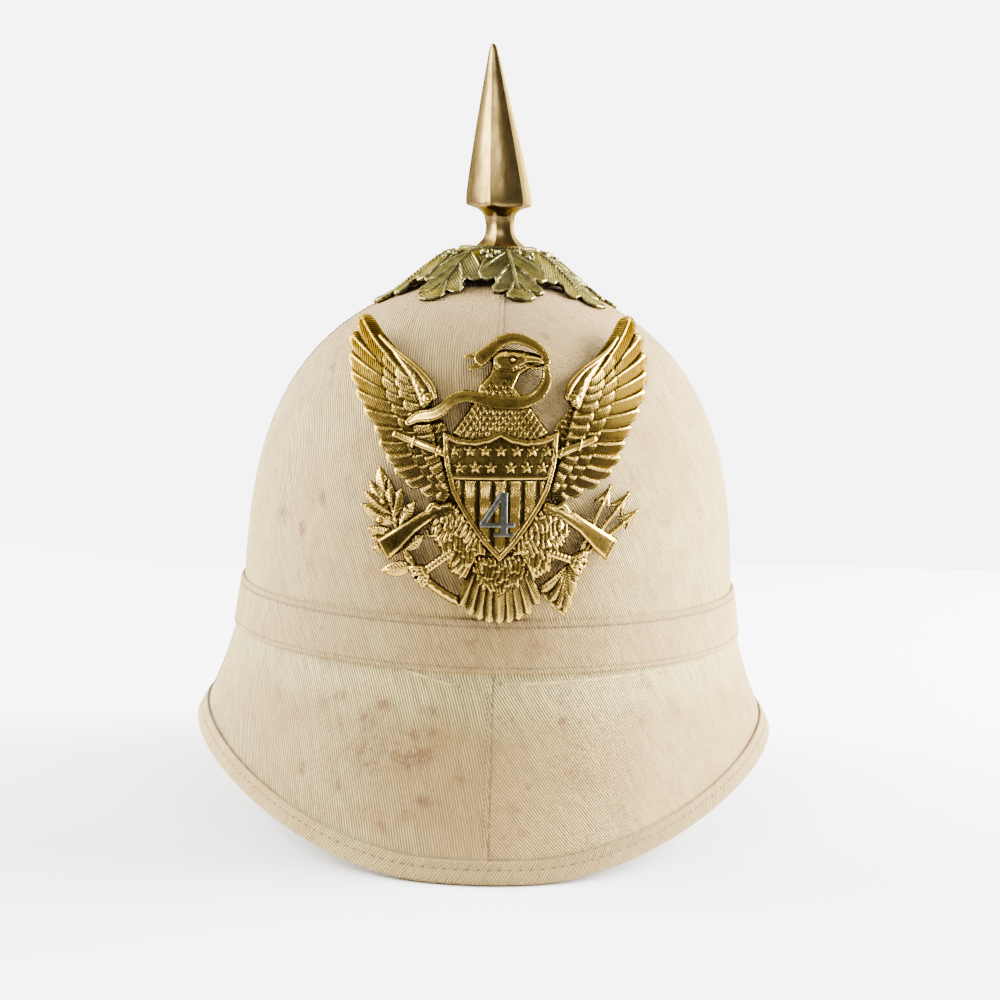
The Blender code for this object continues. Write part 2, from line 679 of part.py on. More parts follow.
RibbonPoint = namedtuple("RibbonPoint", "x z width")
RIBBON_ARCH = (
    RibbonPoint(18.0, 97.5, 2.8),
    RibbonPoint(15.8, 101.3, 3.4),
    RibbonPoint(11.2, 104.5, 4.0),
    RibbonPoint(5.2, 106.3, 4.2),
    RibbonPoint(-0.4, 105.0, 4.4),
    RibbonPoint(-4.4, 101.8, 5.0),
    RibbonPoint(-8.0, 98.8, 5.6),
)
RIBBON_FORK = ((-15.1, 99.4), (-9.4, 97.4), (-12.8, 94.2))
RIBBON_TRAIL = (
    RibbonPoint(17.6, 95.2, 2.8),
    RibbonPoint(17.4, 89.5, 4.2),
    RibbonPoint(14.2, 84.9, 4.6),
    RibbonPoint(9.2, 82.6, 4.6),
    RibbonPoint(3.0, 82.0, 4.6),
    RibbonPoint(-3.2, 82.5, 4.6),
    RibbonPoint(-9.4, 83.9, 4.4),
    RibbonPoint(-14.4, 84.6, 4.2),
    RibbonPoint(-18.8, 82.9, 4.4),
    RibbonPoint(-22.6, 79.4, 4.6),
    RibbonPoint(-27.0, 77.2, 4.8),
    RibbonPoint(-32.0, 76.4, 4.4),
    RibbonPoint(-36.0, 74.0, 2.6),
)
RIBBON_HEIGHT = 2.9

# One gunstock, drawn on the left and mirrored, and the ends of the two barrels
STOCK = ((-47.4, 29.7), (-42.8, 21.6), (-38.0, 26.0), (-32.0, 32.8), (-24.5, 38.6), (-18.0, 41.0),
         (-18.0, 45.3), (-24.0, 44.2), (-30.5, 40.8), (-40.0, 34.6))
STOCK_HEIGHT = 2.6
RIGHT_STOCK_SHIFT = -1.5
LEFT_BARREL = ((-41.3, 69.3), (-31.5, 66.3), (-20.0, 62.6))
RIGHT_BARREL = ((36.8, 68.0), (30.0, 65.6), (20.0, 62.2))
BARREL_WIDTH = 3.4
BARREL_MUZZLE_WIDTH = 2.0
BARREL_HEIGHT = 2.7

Blade = namedtuple("Blade", "root_x root_z tip_x tip_z width")
LAUREL_LEAVES = (
    Blade(-42.5, 43.0, -47.0, 57.5, 6.0),
    Blade(-41.5, 40.0, -51.0, 51.5, 5.5),
    Blade(-40.5, 36.0, -54.3, 42.5, 6.0),
    Blade(-39.0, 31.0, -51.5, 33.5, 5.5),
    Blade(-37.0, 27.0, -50.0, 26.0, 5.0),
    Blade(-33.5, 20.5, -45.8, 17.5, 6.0),
    Blade(-41.0, 38.0, -38.0, 49.5, 5.5),
    Blade(-39.0, 34.0, -32.3, 44.8, 5.0),
    Blade(-36.5, 26.0, -29.0, 32.0, 5.5),
)
LAUREL_STEM = ((-43.5, 46.0), (-41.0, 39.0), (-38.0, 30.0), (-33.0, 20.0), (-25.5, 13.2), (-17.0, 8.0),
               (-8.0, 6.0))
LAUREL_STEM_WIDTHS = (1.2, 2.4, 2.8, 3.4, 3.8, 3.6, 3.4)
LEAF_HEIGHT = 1.8

ARROW_ROOT = (29.5, 22.0)
ARROW_TIPS = ((43.5, 51.0), (51.0, 47.5), (54.8, 40.5))
ARROW_SHAFT_WIDTH = 1.7
ARROW_HEAD_LENGTH = 9.5
ARROW_HEAD_WIDTH = 6.8
ARROW_HEIGHT = 1.6
FLETCHING = ((31.5, 19.5), (30.0, 13.5), (27.8, 7.0), (25.2, 0.8), (21.5, 3.6), (17.6, 8.0), (14.4, 12.2),
             (20.0, 16.6), (26.5, 21.5))
FLETCHING_RIDGES = (((27.8, 17.5), (25.4, 4.0)), ((25.5, 18.0), (20.8, 7.0)), ((24.5, 18.8), (17.0, 12.0)))

# One thigh, drawn on the left and mirrored, with the foot below it
THIGH = ((-26.2, 42.5), (-26.8, 36.5), (-25.4, 30.5), (-21.6, 25.0), (-19.0, 18.4), (-13.5, 15.4),
         (-9.0, 17.4), (-4.0, 24.0), (-6.0, 32.0), (-12.0, 40.0), (-18.0, 45.0))
THIGH_RIDGE = ((-20.0, 38.0), (-18.0, 29.0), (-13.0, 21.0))
THIGH_HEIGHT = 2.2
Foot = namedtuple("Foot", "hock_x hock_z claw_x claw_z radius")
LEFT_FOOT = Foot(-18.5, 26.0, -30.0, 17.5, 5.0)
RIGHT_FOOT = Foot(19.0, 26.0, 30.0, 22.0, 4.8)
SHANK_WIDTH = 3.6
FOOT_HEIGHT = 2.6

# Tail feathers from the middle one outwards: how far out and how high their tips are
TAIL_TIPS = ((0.0, -1.3), (3.9, -1.0), (7.7, 0.1), (11.4, 2.2), (14.9, 6.0))
TAIL_ROOT_SHARE = 0.5
TAIL_ROOT_Z = 24.0
TAIL_TOP_Z = 30.0
TAIL_HEIGHT = 1.6

NUMERAL = ((-7.6, 35.8), (-7.6, 37.4), (0.2, 48.9), (3.0, 48.9), (3.0, 37.6), (5.8, 37.6), (5.8, 35.8),
           (3.0, 35.8), (3.0, 33.8), (5.6, 33.8), (5.6, 32.3), (-2.4, 32.3), (-2.4, 33.8), (0.2, 33.8),
           (0.2, 35.8))
NUMERAL_COUNTER = ((-4.9, 37.6), (0.2, 37.6), (0.2, 45.4))


def crown_front(x, z):
    """How far forward the crown's outside is at a point of the front view, and -1 beside the crown."""
    share = crown_share(z)
    out = 1 - (x / np.maximum(CROWN_HALF_WIDTH * share, 1e-6)) ** 2
    return np.where(out > 0, CROWN_FRONT * share * np.sqrt(np.maximum(out, 0)), -1)


def plate_front(x, z):
    """How far forward the plate's back is at a point of the front view."""
    rest = CROWN_FRONT + GAP + BAND_CLOTH + PLATE_REST
    up = np.maximum(z - BAND_TOP - PLATE_STRAIGHT, 0)
    across = PLATE_BEND_ACROSS - np.sqrt(np.maximum(PLATE_BEND_ACROSS ** 2 - x ** 2, 0))
    lean = PLATE_BEND_UP - np.sqrt(np.maximum(PLATE_BEND_UP ** 2 - up ** 2, 0))
    return np.maximum(rest - across - lean, crown_front(x, z) + PLATE_CLEARANCE)


def on_plate(points, height):
    """A point of the drawing on the bent plate, at a height in front of the plate's back."""
    x0, z0 = points[:, 0] * UNIT, points[:, 1] * UNIT
    x = PLATE_SHIFT + x0 * cos(PLATE_TURN) - z0 * sin(PLATE_TURN)
    z = BAND_TOP + PLATE_ABOVE_BAND + x0 * sin(PLATE_TURN) + z0 * cos(PLATE_TURN)
    step = 0.0005
    slope_x = (plate_front(x + step, z) - plate_front(x - step, z)) / (2 * step)
    slope_z = (plate_front(x, z + step) - plate_front(x, z - step)) / (2 * step)
    normal = np.stack([-slope_x, -np.ones_like(x), -slope_z], -1)
    normal /= np.linalg.norm(normal, axis=1)[:, None]
    flat = np.stack([x, CROWN_Y - plate_front(x, z), z], -1)
    return flat + normal * height[:, None]


def mirrored(points):
    return [(-x, z) for x, z in points][::-1]


def bowed(root, tip, sag):
    """A line from root to tip that bows to one side by a share of its length."""
    root, tip = np.array(root, float), np.array(tip, float)
    along = tip - root
    side = np.array([-along[1], along[0]]) * sag
    return [tuple(root), tuple(root + along * 0.5 + side), tuple(root + along * 0.94)]


def fan_shape(tips, roots, rest_of_outline, height, sag=0.0):
    """Feathers side by side: a ridge along each, a valley between each two and a notch at its end."""
    outline, valleys = [], []
    for i, tip in enumerate(tips):
        if i:
            middle = (np.array(tips[i - 1]) + tip) / 2
            base = (np.array(roots[i - 1]) + roots[i]) / 2
            notch = middle + (base - middle) / np.linalg.norm(base - middle) * FEATHER_NOTCH
            outline.append(tuple(notch))
            low = bowed(base, notch, sag)
            valleys.append(low[:2] + [tuple(notch)])
        outline.append(tuple(tip))
    ridges = [bowed(root, tip, sag) for root, tip in zip(roots, tips)]
    return ridged_shape(outline + list(rest_of_outline), height, ridges, valleys)


def wing_shapes(side):
    """One wing and its shoulder: side is -1 on the left and 1 on the right."""
    def put(point):
        return (side * (point.left if side < 0 else point.right), point.z)
    tips = [(side * (f.left if side < 0 else f.right), f.tip_z) for f in WING_FEATHERS]
    roots = [(side * f.root_x, f.root_z) for f in WING_FEATHERS]
    wing = fan_shape(tips, roots, [put(p) for p in WING_INNER_EDGE], WING_HEIGHT, -side * FEATHER_SAG)
    shoulder = ridged_shape([put(p) for p in SHOULDER], SHOULDER_HEIGHT, [[put(p) for p in SHOULDER_RIDGE]])
    return [wing, shoulder]


def shield_outline():
    half = list(SHIELD_HALF)
    return half + [(-x, z) for x, z in half[-2:0:-1]]


def shield_side_z(x):
    """The height at which the inside of the shield's rim is at a distance from its axis."""
    side = [(x0 - SHIELD_RIM_ACROSS, z0) for x0, z0 in SHIELD_HALF[6:-1]]
    side.append((0, SHIELD_HALF[-1][1] + SHIELD_RIM * 2))
    side = side[::-1]
    return float(np.interp(abs(x), [p[0] for p in side], [p[1] for p in side]))


def shield_shapes():
    rim = SHIELD_RIM
    outline = shield_outline()
    field = Shape(outline, ((0, 0), (EDGE, SHIELD_RIM_HEIGHT), (rim - EDGE, SHIELD_RIM_HEIGHT),
                            (rim, SHIELD_FIELD_HEIGHT)), (), ())
    shapes = [field]
    side = SHIELD_HALF[4:-1]
    half_field = np.interp(CHIEF_Z, [p[1] for p in side[::-1]], [p[0] for p in side[::-1]]) - SHIELD_RIM_ACROSS
    pitch = float(2 * half_field / STRIPE_COUNT)
    for i in range(STRIPE_COUNT):
        middle = (i - (STRIPE_COUNT - 1) / 2) * pitch
        x0, x1 = middle - pitch * STRIPE_SHARE / 2, middle + pitch * STRIPE_SHARE / 2
        stripe = [(x0, CHIEF_Z), (x1, CHIEF_Z), (x1, shield_side_z(x1) + 0.6), (x0, shield_side_z(x0) + 0.6)]
        shapes.append(flat_shape(stripe, STRIPE_HEIGHT, 0.3))
    return shapes


def ribbon_shapes():
    path = [(p.x, p.z) for p in RIBBON_ARCH]
    sides = strip(path, [p.width for p in RIBBON_ARCH])
    half = len(path)
    arch = sides[:half] + [RIBBON_FORK[2], RIBBON_FORK[1], RIBBON_FORK[0]] + sides[half:]
    trail = strip([(p.x, p.z) for p in RIBBON_TRAIL], [p.width for p in RIBBON_TRAIL])
    return [flat_shape(arch, RIBBON_HEIGHT), flat_shape(trail, RIBBON_HEIGHT)]


def rifle_shapes():
    right_stock = [(x + RIGHT_STOCK_SHIFT, z) for x, z in mirrored(STOCK)]
    shapes = [flat_shape(list(STOCK), STOCK_HEIGHT, 1.0), flat_shape(right_stock, STOCK_HEIGHT, 1.0)]
    widths = (BARREL_MUZZLE_WIDTH, BARREL_WIDTH, BARREL_WIDTH)
    for barrel in (LEFT_BARREL, RIGHT_BARREL):
        shapes.append(flat_shape(strip(barrel, widths), BARREL_HEIGHT))
    return shapes


def laurel_shapes():
    shapes = [flat_shape(strip(LAUREL_STEM, LAUREL_STEM_WIDTHS), LEAF_HEIGHT)]
    for leaf in LAUREL_LEAVES:
        outline, ridge = blade((leaf.root_x, leaf.root_z), (leaf.tip_x, leaf.tip_z), leaf.width)
        shapes.append(ridged_shape(outline, LEAF_HEIGHT, ridge))
    return shapes


def arrow_shapes():
    shapes = []
    root = np.array(ARROW_ROOT)
    for tip in ARROW_TIPS:
        tip = np.array(tip)
        along = (tip - root) / np.linalg.norm(tip - root)
        side = np.array([-along[1], along[0]]) * ARROW_HEAD_WIDTH / 2
        base = tip - along * ARROW_HEAD_LENGTH
        shaft = strip([root, base + along * 3], [ARROW_SHAFT_WIDTH, ARROW_SHAFT_WIDTH])
        head = [tuple(tip), tuple(base + side), tuple(base + along * 2), tuple(base - side)]
        shapes.append(flat_shape(shaft, ARROW_HEIGHT, 0.4))
        shapes.append(ridged_shape(head, ARROW_HEIGHT, [[tuple(base + along * 3), tuple(tip - along)]]))
    shapes.append(ridged_shape(list(FLETCHING), LEAF_HEIGHT, [list(r) for r in FLETCHING_RIDGES]))
    return shapes


def leg_shapes():
    shapes = [ridged_shape(list(THIGH), THIGH_HEIGHT, [list(THIGH_RIDGE)]),
              ridged_shape(mirrored(THIGH), THIGH_HEIGHT, [mirrored(THIGH_RIDGE)])]
    for foot in (LEFT_FOOT, RIGHT_FOOT):
        hock, claw = (foot.hock_x, foot.hock_z), (foot.claw_x, foot.claw_z)
        shapes.append(flat_shape(strip([hock, claw], [SHANK_WIDTH, SHANK_WIDTH]), FOOT_HEIGHT))
        ball = [(foot.claw_x + foot.radius * sin(a), foot.claw_z + foot.radius * cos(a))
                for a in np.arange(10) * 2 * pi / 10 + 0.1]
        shapes.append(flat_shape(ball, FOOT_HEIGHT, foot.radius * 0.5))
    return shapes


def tail_shapes():
    tips = [(-x, z) for x, z in TAIL_TIPS[:0:-1]] + list(TAIL_TIPS)
    roots = [(x * TAIL_ROOT_SHARE, TAIL_ROOT_Z) for x, _ in tips]
    top = [(roots[-1][0] + 2, TAIL_TOP_Z), (roots[0][0] - 2, TAIL_TOP_Z)]
    return [fan_shape(tips, roots, top, TAIL_HEIGHT)]


def plate_shapes():
    shapes = wing_shapes(-1) + wing_shapes(1)
    shapes.append(ridged_shape(list(HEAD_AND_NECK), NECK_HEIGHT, [list(NECK_RIDGE)]))
    return (shapes + ribbon_shapes() + shield_shapes() + rifle_shapes() + laurel_shapes() + arrow_shapes()
            + leg_shapes() + tail_shapes())


def build_eagle_plate(collection):
    points, faces = relief_sheet(plate_shapes(), on_plate, PLATE_SHEET)
    return add_object("eagle_plate", points, faces, GILT_BRASS, collection, 12)


def build_numeral(collection):
    lift = PLATE_SHEET + STRIPE_HEIGHT * UNIT + GAP

    def on_shield(points, height):
        return on_plate(points, height + lift)
    shape = Shape(list(NUMERAL), ((0, 0),), (), ())
    points, faces = relief_sheet([shape], on_shield, NUMERAL_SHEET, [list(NUMERAL_COUNTER)])
    return add_object("numeral", points, faces, GREY_SILVER, collection, 20)


clear_scene()
parts = bpy.data.collections.new("pith_helmet")
bpy.context.scene.collection.children.link(parts)
build_helmet_body(parts)
build_hat_band(parts)
build_edge_binding(parts)
build_leaf_base(parts)
build_spike(parts)
build_eagle_plate(parts)
build_numeral(parts)
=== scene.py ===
"""A cork helmet in cream twill, with its brass spike, leaf base and eagle plate, finished for close views.

Metres, +Z up, the front towards -Y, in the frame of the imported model. Every surface is a grid of points that
numpy works out: the crown and brim from two parameters, and the stamped metal from heights on a flat drawing,
which is then bent to its place.
"""
from collections import namedtuple
from math import cos, pi, radians, sin, tan

import bpy
import numpy as np
from mathutils import Matrix


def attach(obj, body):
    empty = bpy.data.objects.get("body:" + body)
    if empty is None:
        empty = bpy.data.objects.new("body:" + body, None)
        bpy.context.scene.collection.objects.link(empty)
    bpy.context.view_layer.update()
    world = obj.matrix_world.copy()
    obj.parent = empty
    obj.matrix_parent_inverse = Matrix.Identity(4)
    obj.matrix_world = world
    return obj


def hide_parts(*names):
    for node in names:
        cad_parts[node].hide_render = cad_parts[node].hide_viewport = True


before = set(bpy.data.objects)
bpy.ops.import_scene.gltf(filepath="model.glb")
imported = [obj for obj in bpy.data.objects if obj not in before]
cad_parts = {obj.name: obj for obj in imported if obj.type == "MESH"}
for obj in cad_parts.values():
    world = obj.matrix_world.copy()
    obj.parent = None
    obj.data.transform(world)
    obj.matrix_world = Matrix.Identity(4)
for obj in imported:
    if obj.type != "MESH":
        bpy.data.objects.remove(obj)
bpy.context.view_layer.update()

# Camera: place, downward pitch, roll and lens that match the photograph
CAMERA_PLACE = (0.0042, -1.0099, 0.2330)
CAMERA_PITCH = radians(6.15)
CAMERA_ROLL = radians(1.73)
CAMERA_LENS = 83.09
SENSOR_WIDTH = 36.0

# Clearance between pieces, and the helmet's named sizes as in its solids
GAP = 0.0003
CROWN_HALF_WIDTH = 0.1057
CROWN_FRONT = 0.1230
CROWN_REAR = 0.1260
CROWN_TOP = 0.2220
CROWN_FOOT = 0.0516
CROWN_FULLNESS_UP = 3.5
CROWN_FULLNESS_OUT = 1.99
WALL = 0.0050
VENT_RADIUS = 0.0030
BAND_TOP = 0.0920
BAND_FOOT = 0.0720
BAND_FLARE = 0.0026
BAND_CLOTH = 0.0015
BRIM_HALF_WIDTH = 0.1258
BRIM_FRONT = 0.1710
BRIM_REAR = 0.1900
BRIM_CORNER = 1.93
BRIM_SIDE_RISE = 0.0310
BRIM_LEVEL_SHARE = 0.17
BRIM_RISE_POWER = 1.7
BRIM_HOLLOW = 0.12
BINDING_WIDTH = 0.0090
BINDING_CLOTH = 0.0010
BINDING_SHIFT = 0.0004
CROWN_Y = (BRIM_FRONT - BRIM_REAR) / 2 - BINDING_SHIFT
LEAF_COUNT = 8
LEAF_TURN = radians(12)
LEAF_REACH = 0.0475
LEAF_TIP_GAP = 0.0006
RING_RADIUS = 0.0160
RING_BEAD = 0.0012
RING_TOP = 0.2345
SPIKE_HEIGHT = 0.0875
SPIKE_RADIUS = 0.0147
SPIKE_FLANGE_RADIUS = 0.0120
SPIKE_FLANGE_SHEET = 0.0013
SPIKE_LEAN = radians(3.8)
SPIKE_SHIFT = 0.0012
SPIKE_TURN = radians(-15)
SPIKE_SCREW_RADIUS = 0.0024
PLATE_SHEET = 0.0009
PLATE_ABOVE_BAND = 0.0005
PLATE_STRAIGHT = 0.0050
PLATE_SHIFT = 0.0052
PLATE_TURN = radians(1.2)
PLATE_BEND_ACROSS = 0.0850
PLATE_BEND_UP = 0.1400
PLATE_REST = 0.0010
PLATE_CLEARANCE = 0.0006
UNIT = 0.0010                # the plate's drawing is in millimetres

# Fineness of the cloth surfaces
PANELS = 4
PANEL_COLUMNS = 92
CROWN_ROWS = 84
BRIM_ROWS = 44

# Cloth
SEAM_SHIFT = 0.0035          # how far to the side of the middle the front seam runs
SEAM_LAP = 0.00045           # thickness of the folded cloth on one side of each seam
SEAM_FOLD = 0.0022           # width of the folded cloth
SEAM_FADE = 0.0100           # where the fold's slope ends
CREASE_DEPTH = 0.00025
CREASE_WIDTH = 0.0009
CREASE_ENDS = ((-0.034, 2.14), (-0.065, 2.88))
TWILL_PITCH = 0.00103
TWILL_TURN = radians(27)     # lean of the twill's lines from the middle line of each panel
BINDING_TURN = radians(-32)


def table(kind, rows):
    """Rows of numbers with named columns."""
    return tuple(kind(*row) for row in rows)


# Camera, floor and light

FLOOR_HALF = 0.75
FLOOR_GREY = 0.86
FLOOR_ROUGHNESS = 0.8


def add_camera():
    data = bpy.data.cameras.new("camera")
    data.lens = CAMERA_LENS
    data.sensor_width = SENSOR_WIDTH
    camera = bpy.data.objects.new("camera", data)
    bpy.context.scene.collection.objects.link(camera)
    turn = Matrix.Rotation(pi / 2 - CAMERA_PITCH, 4, "X") @ Matrix.Rotation(CAMERA_ROLL, 4, "Z")
    camera.matrix_world = Matrix.Translation(CAMERA_PLACE) @ turn
    bpy.context.scene.camera = camera


def add_floor():
    corners = [(x * FLOOR_HALF, y * FLOOR_HALF, 0) for x, y in ((-1, -1), (1, -1), (1, 1), (-1, 1))]
    mesh = bpy.data.meshes.new("floor")
    mesh.from_pydata(corners, [], [(0, 1, 2, 3)])
    floor = bpy.data.objects.new("floor", mesh)
    bpy.context.scene.collection.objects.link(floor)
    paint = bpy.data.materials.new("pale_floor")
    paint.use_nodes = True
    shader = paint.node_tree.nodes["Principled BSDF"]
    shader.inputs["Base Color"].default_value = (FLOOR_GREY, FLOOR_GREY, FLOOR_GREY, 1)
    shader.inputs["Roughness"].default_value = FLOOR_ROUGHNESS
    mesh.materials.append(paint)


Lamp = namedtuple("Lamp", "name place size power")
LAMP_AIM = (0, 0, 0.15)
LAMPS = table(Lamp, (
    ("front_softbox", (-0.95, -0.95, 1.45), 0.35, 18.0),
    ("right_fill", (1.05, -1.00, 0.95), 0.25, 9.0),
    ("left_softbox", (-1.18, 0.38, 0.55), 0.9, 128.0),
    ("right_softbox", (1.18, 0.34, 0.55), 0.9, 225.0),
))
# Brightness of the dim room in front of the helmet and of the white wall behind it, and where one becomes the
# other
ROOM_FRONT = 0.36
ROOM_BACK = 6.5
ROOM_TURN = (0.10, 0.80)


def add_lamp(lamp):
    """A square lamp with its face turned to the helmet."""
    data = bpy.data.lights.new(lamp.name, "AREA")
    data.size = lamp.size
    data.energy = lamp.power
    thing = bpy.data.objects.new(lamp.name, data)
    bpy.context.scene.collection.objects.link(thing)
    place, aim = np.array(lamp.place), np.array(LAMP_AIM)
    back = (place - aim) / np.linalg.norm(place - aim)
    side = np.cross((0, 0, 1), back)
    side /= np.linalg.norm(side)
    up = np.cross(back, side)
    thing.matrix_world = Matrix([(side[i], up[i], back[i], place[i]) for i in range(3)] + [(0, 0, 0, 1)])


def add_room():
    """The room's light: dim in front of the helmet, white behind it."""
    world = bpy.data.worlds.new("pale_room")
    bpy.context.scene.world = world
    world.use_nodes = True
    nodes, links = world.node_tree.nodes, world.node_tree.links
    sky = nodes["Background"]
    sky.inputs["Color"].default_value = (1.0, 1.0, 1.0, 1)
    parts = nodes.new("ShaderNodeSeparateXYZ")
    links.new(nodes.new("ShaderNodeTexCoord").outputs["Generated"], parts.inputs[0])
    depth = nodes.new("ShaderNodeMapRange")
    depth.interpolation_type = "SMOOTHSTEP"
    span = zip(("From Min", "From Max", "To Min", "To Max"), ROOM_TURN + (ROOM_FRONT, ROOM_BACK))
    for key, value in span:
        depth.inputs[key].default_value = value
    links.new(parts.outputs["Y"], depth.inputs["Value"])
    links.new(depth.outputs["Result"], sky.inputs["Strength"])


# Mesh helpers

def grid_faces(rows, columns, wrap=True, closed=False):
    """Four-sided faces between a grid's neighbours. The last column joins the first if it wraps, and the last
    row joins the first if it is closed."""
    number = np.arange(rows * columns).reshape(rows, columns)
    if closed:
        number = np.concatenate([number, number[:1]])
    if wrap:
        number = np.concatenate([number, number[:, :1]], 1)
    return np.stack([number[:-1, :-1], number[1:, :-1], number[1:, 1:], number[:-1, 1:]], -1).reshape(-1, 4)


def signed_volume(points, faces):
    """A third of the sum, over the faces, of each middle's dot product with the face's area vector."""
    a, b, c, d = (points[faces[:, k]] for k in range(4))
    area = np.cross(c - a, d - b) / 2
    return float(np.sum((a + b + c + d) / 4 * area) / 3)


def add_piece(name, points, faces, material, slot, replaced=(), uv=None, values=None, sharp=None,
              uv_faces=None):
    """One piece: a mesh of four-sided faces turned outwards, with its cloth coordinates and point values."""
    points = np.asarray(points, float).reshape(-1, 3)
    faces = np.asarray(faces, int)
    uv_faces = faces if uv_faces is None else uv_faces
    if signed_volume(points, faces) < 0:
        faces, uv_faces = faces[:, ::-1], uv_faces[:, ::-1]
    mesh = bpy.data.meshes.new(name)
    mesh.vertices.add(len(points))
    mesh.vertices.foreach_set("co", points.ravel())
    mesh.loops.add(faces.size)
    mesh.loops.foreach_set("vertex_index", faces.ravel())
    mesh.polygons.add(len(faces))
    mesh.polygons.foreach_set("loop_start", np.arange(0, faces.size, 4))
    mesh.update(calc_edges=True)
    if uv is not None:
        layer = mesh.uv_layers.new(name="cloth")
        layer.data.foreach_set("uv", np.asarray(uv, float).reshape(-1, 2)[uv_faces.ravel()].ravel())
    for label, value in (values or {}).items():
        layer = mesh.attributes.new(label, "FLOAT", "POINT")
        layer.data.foreach_set("value", np.asarray(value, float).ravel())
    mesh.validate()
    mesh.shade_smooth()
    if sharp:
        mesh.set_sharp_from_angle(angle=radians(sharp))
    mesh.materials.append(material)
    piece = bpy.data.objects.new(name, mesh)
    bpy.context.scene.collection.objects.link(piece)
    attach(piece, "root")
    if replaced:
        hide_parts(*replaced)
    return piece


def ripple(*coordinates, seed=0, waves=7, scale=1.0):
    """Smooth unevenness from -1 to 1: the mean of sine waves of different direction and length."""
    chance = np.random.default_rng(seed)
    total = 0
    for _ in range(waves):
        steps = chance.normal(size=len(coordinates)) * scale
        total = total + np.sin(sum(c * s for c, s in zip(coordinates, steps)) + chance.uniform(0, 2 * pi))
    return total / waves


def smooth_step(x, low, high):
    t = np.clip((x - low) / (high - low), 0, 1)
    return t * t * (3 - 2 * t)


# Shape of the crown and brim

def plan(angle, half_width, front, rear, level, power=2.0):
    """A closed curve: half an oval of one length in front and half of another behind."""
    s, c = np.sin(angle), np.cos(angle)
    reach = (np.abs(s) ** power + np.abs(c) ** power) ** (-1 / power)
    length = np.where(c > 0, front, rear)
    return np.stack([half_width * s * reach, CROWN_Y - length * c * reach, level + 0 * angle], -1)


def crown_share(level):
    """The crown's width at a level, as a share of its full width."""
    t = np.clip((level - CROWN_FOOT) / (CROWN_TOP - CROWN_FOOT), 0, 1)
    return (1 - t ** CROWN_FULLNESS_UP) ** (1 / CROWN_FULLNESS_OUT)


def crown_level(x, y):
    """The height of the crown's outside above a point of the plan."""
    length = np.where(y < CROWN_Y, CROWN_FRONT, CROWN_REAR)
    out = np.clip(np.hypot(x / CROWN_HALF_WIDTH, (y - CROWN_Y) / length), 0, 1)
    t = (1 - out ** CROWN_FULLNESS_OUT) ** (1 / CROWN_FULLNESS_UP)
    return CROWN_FOOT + (CROWN_TOP - CROWN_FOOT) * t


def brim_rise(angle):
    share = np.clip((np.abs(np.sin(angle)) - BRIM_LEVEL_SHARE) / (1 - BRIM_LEVEL_SHARE), 0, 1)
    return BRIM_SIDE_RISE * share ** BRIM_RISE_POWER


def band_ring(angle, level, flare):
    share = crown_share(level)
    return plan(angle, CROWN_HALF_WIDTH * share + flare, CROWN_FRONT * share + flare,
                CROWN_REAR * share + flare, level)


def brim_edge(angle):
    """The brim's own edge, inside the binding."""
    cover = BINDING_CLOTH + GAP
    slant = 2 * cover
    edge = plan(angle, BRIM_HALF_WIDTH - slant, BRIM_FRONT - slant, BRIM_REAR - slant, 0, BRIM_CORNER)
    edge[..., 2] = brim_rise(angle) + cover
    return edge


def shell_point(angle, s):
    """The outside of the shell: s runs 0 to 1 down the crown, to 2 down the band, to 3 down the brim."""
    s = np.broadcast_to(s, angle.shape)
    vent = VENT_RADIUS / CROWN_HALF_WIDTH
    first = np.arcsin(vent ** (CROWN_FULLNESS_OUT / 2))
    foot_t = (BAND_TOP - CROWN_FOOT) / (CROWN_TOP - CROWN_FOOT)
    last = np.arccos(foot_t ** (CROWN_FULLNESS_UP / 2))
    turn = first + (last - first) * np.clip(s, 0, 1)
    share = np.sin(turn) ** (2 / CROWN_FULLNESS_OUT)
    level = CROWN_FOOT + (CROWN_TOP - CROWN_FOOT) * np.cos(turn) ** (2 / CROWN_FULLNESS_UP)
    crown = plan(angle, CROWN_HALF_WIDTH * share, CROWN_FRONT * share, CROWN_REAR * share, level)
    top = band_ring(angle, BAND_TOP, 0)
    foot = band_ring(angle, BAND_FOOT, BAND_FLARE)
    band = top + (foot - top) * np.clip(s - 1, 0, 1)[..., None]
    edge = brim_edge(angle)
    bend = foot + (edge - foot) * np.array([0.5 - BRIM_HOLLOW, 0.5 - BRIM_HOLLOW, 0.5 + BRIM_HOLLOW])
    t = np.clip(s - 2, 0, 1.2)[..., None]
    brim = (1 - t) ** 2 * foot + 2 * t * (1 - t) * bend + t ** 2 * edge
    return np.where((s <= 1)[..., None], crown, np.where((s <= 2)[..., None], band, brim))


def shell_normal(angle, s):
    """The outward direction of the shell's surface, by differences."""
    step = 0.02
    s = np.broadcast_to(s, angle.shape)
    low, high = np.clip(s - step, 0, 3), np.clip(s + step, 0, 3)
    along = shell_point(angle, high) - shell_point(angle, low)
    across = shell_point(angle + step, s) - shell_point(angle - step, s)
    normal = np.cross(across, along)
    normal *= np.sign(normal[..., 2] + 1e-9)[..., None]
    return normal / np.linalg.norm(normal, axis=-1, keepdims=True)


def shell_offset(angle, s, out):
    """A point at a distance out from the shell's outside; minus is inwards."""
    return shell_point(angle, s) + np.asarray(out)[..., None] * shell_normal(angle, s)


def slid_to_level(angle, out, drop):
    """The brim's edge at a distance out from the surface, slid along the slope to a level below it."""
    end, near = np.full_like(angle, 3.0), np.full_like(angle, 2.9)
    here = shell_offset(angle, end, out)
    slope = here - shell_offset(angle, near, out)
    target = brim_edge(angle)[..., 2] - drop
    return here + slope * ((target - here[..., 2]) / slope[..., 2])[..., None]


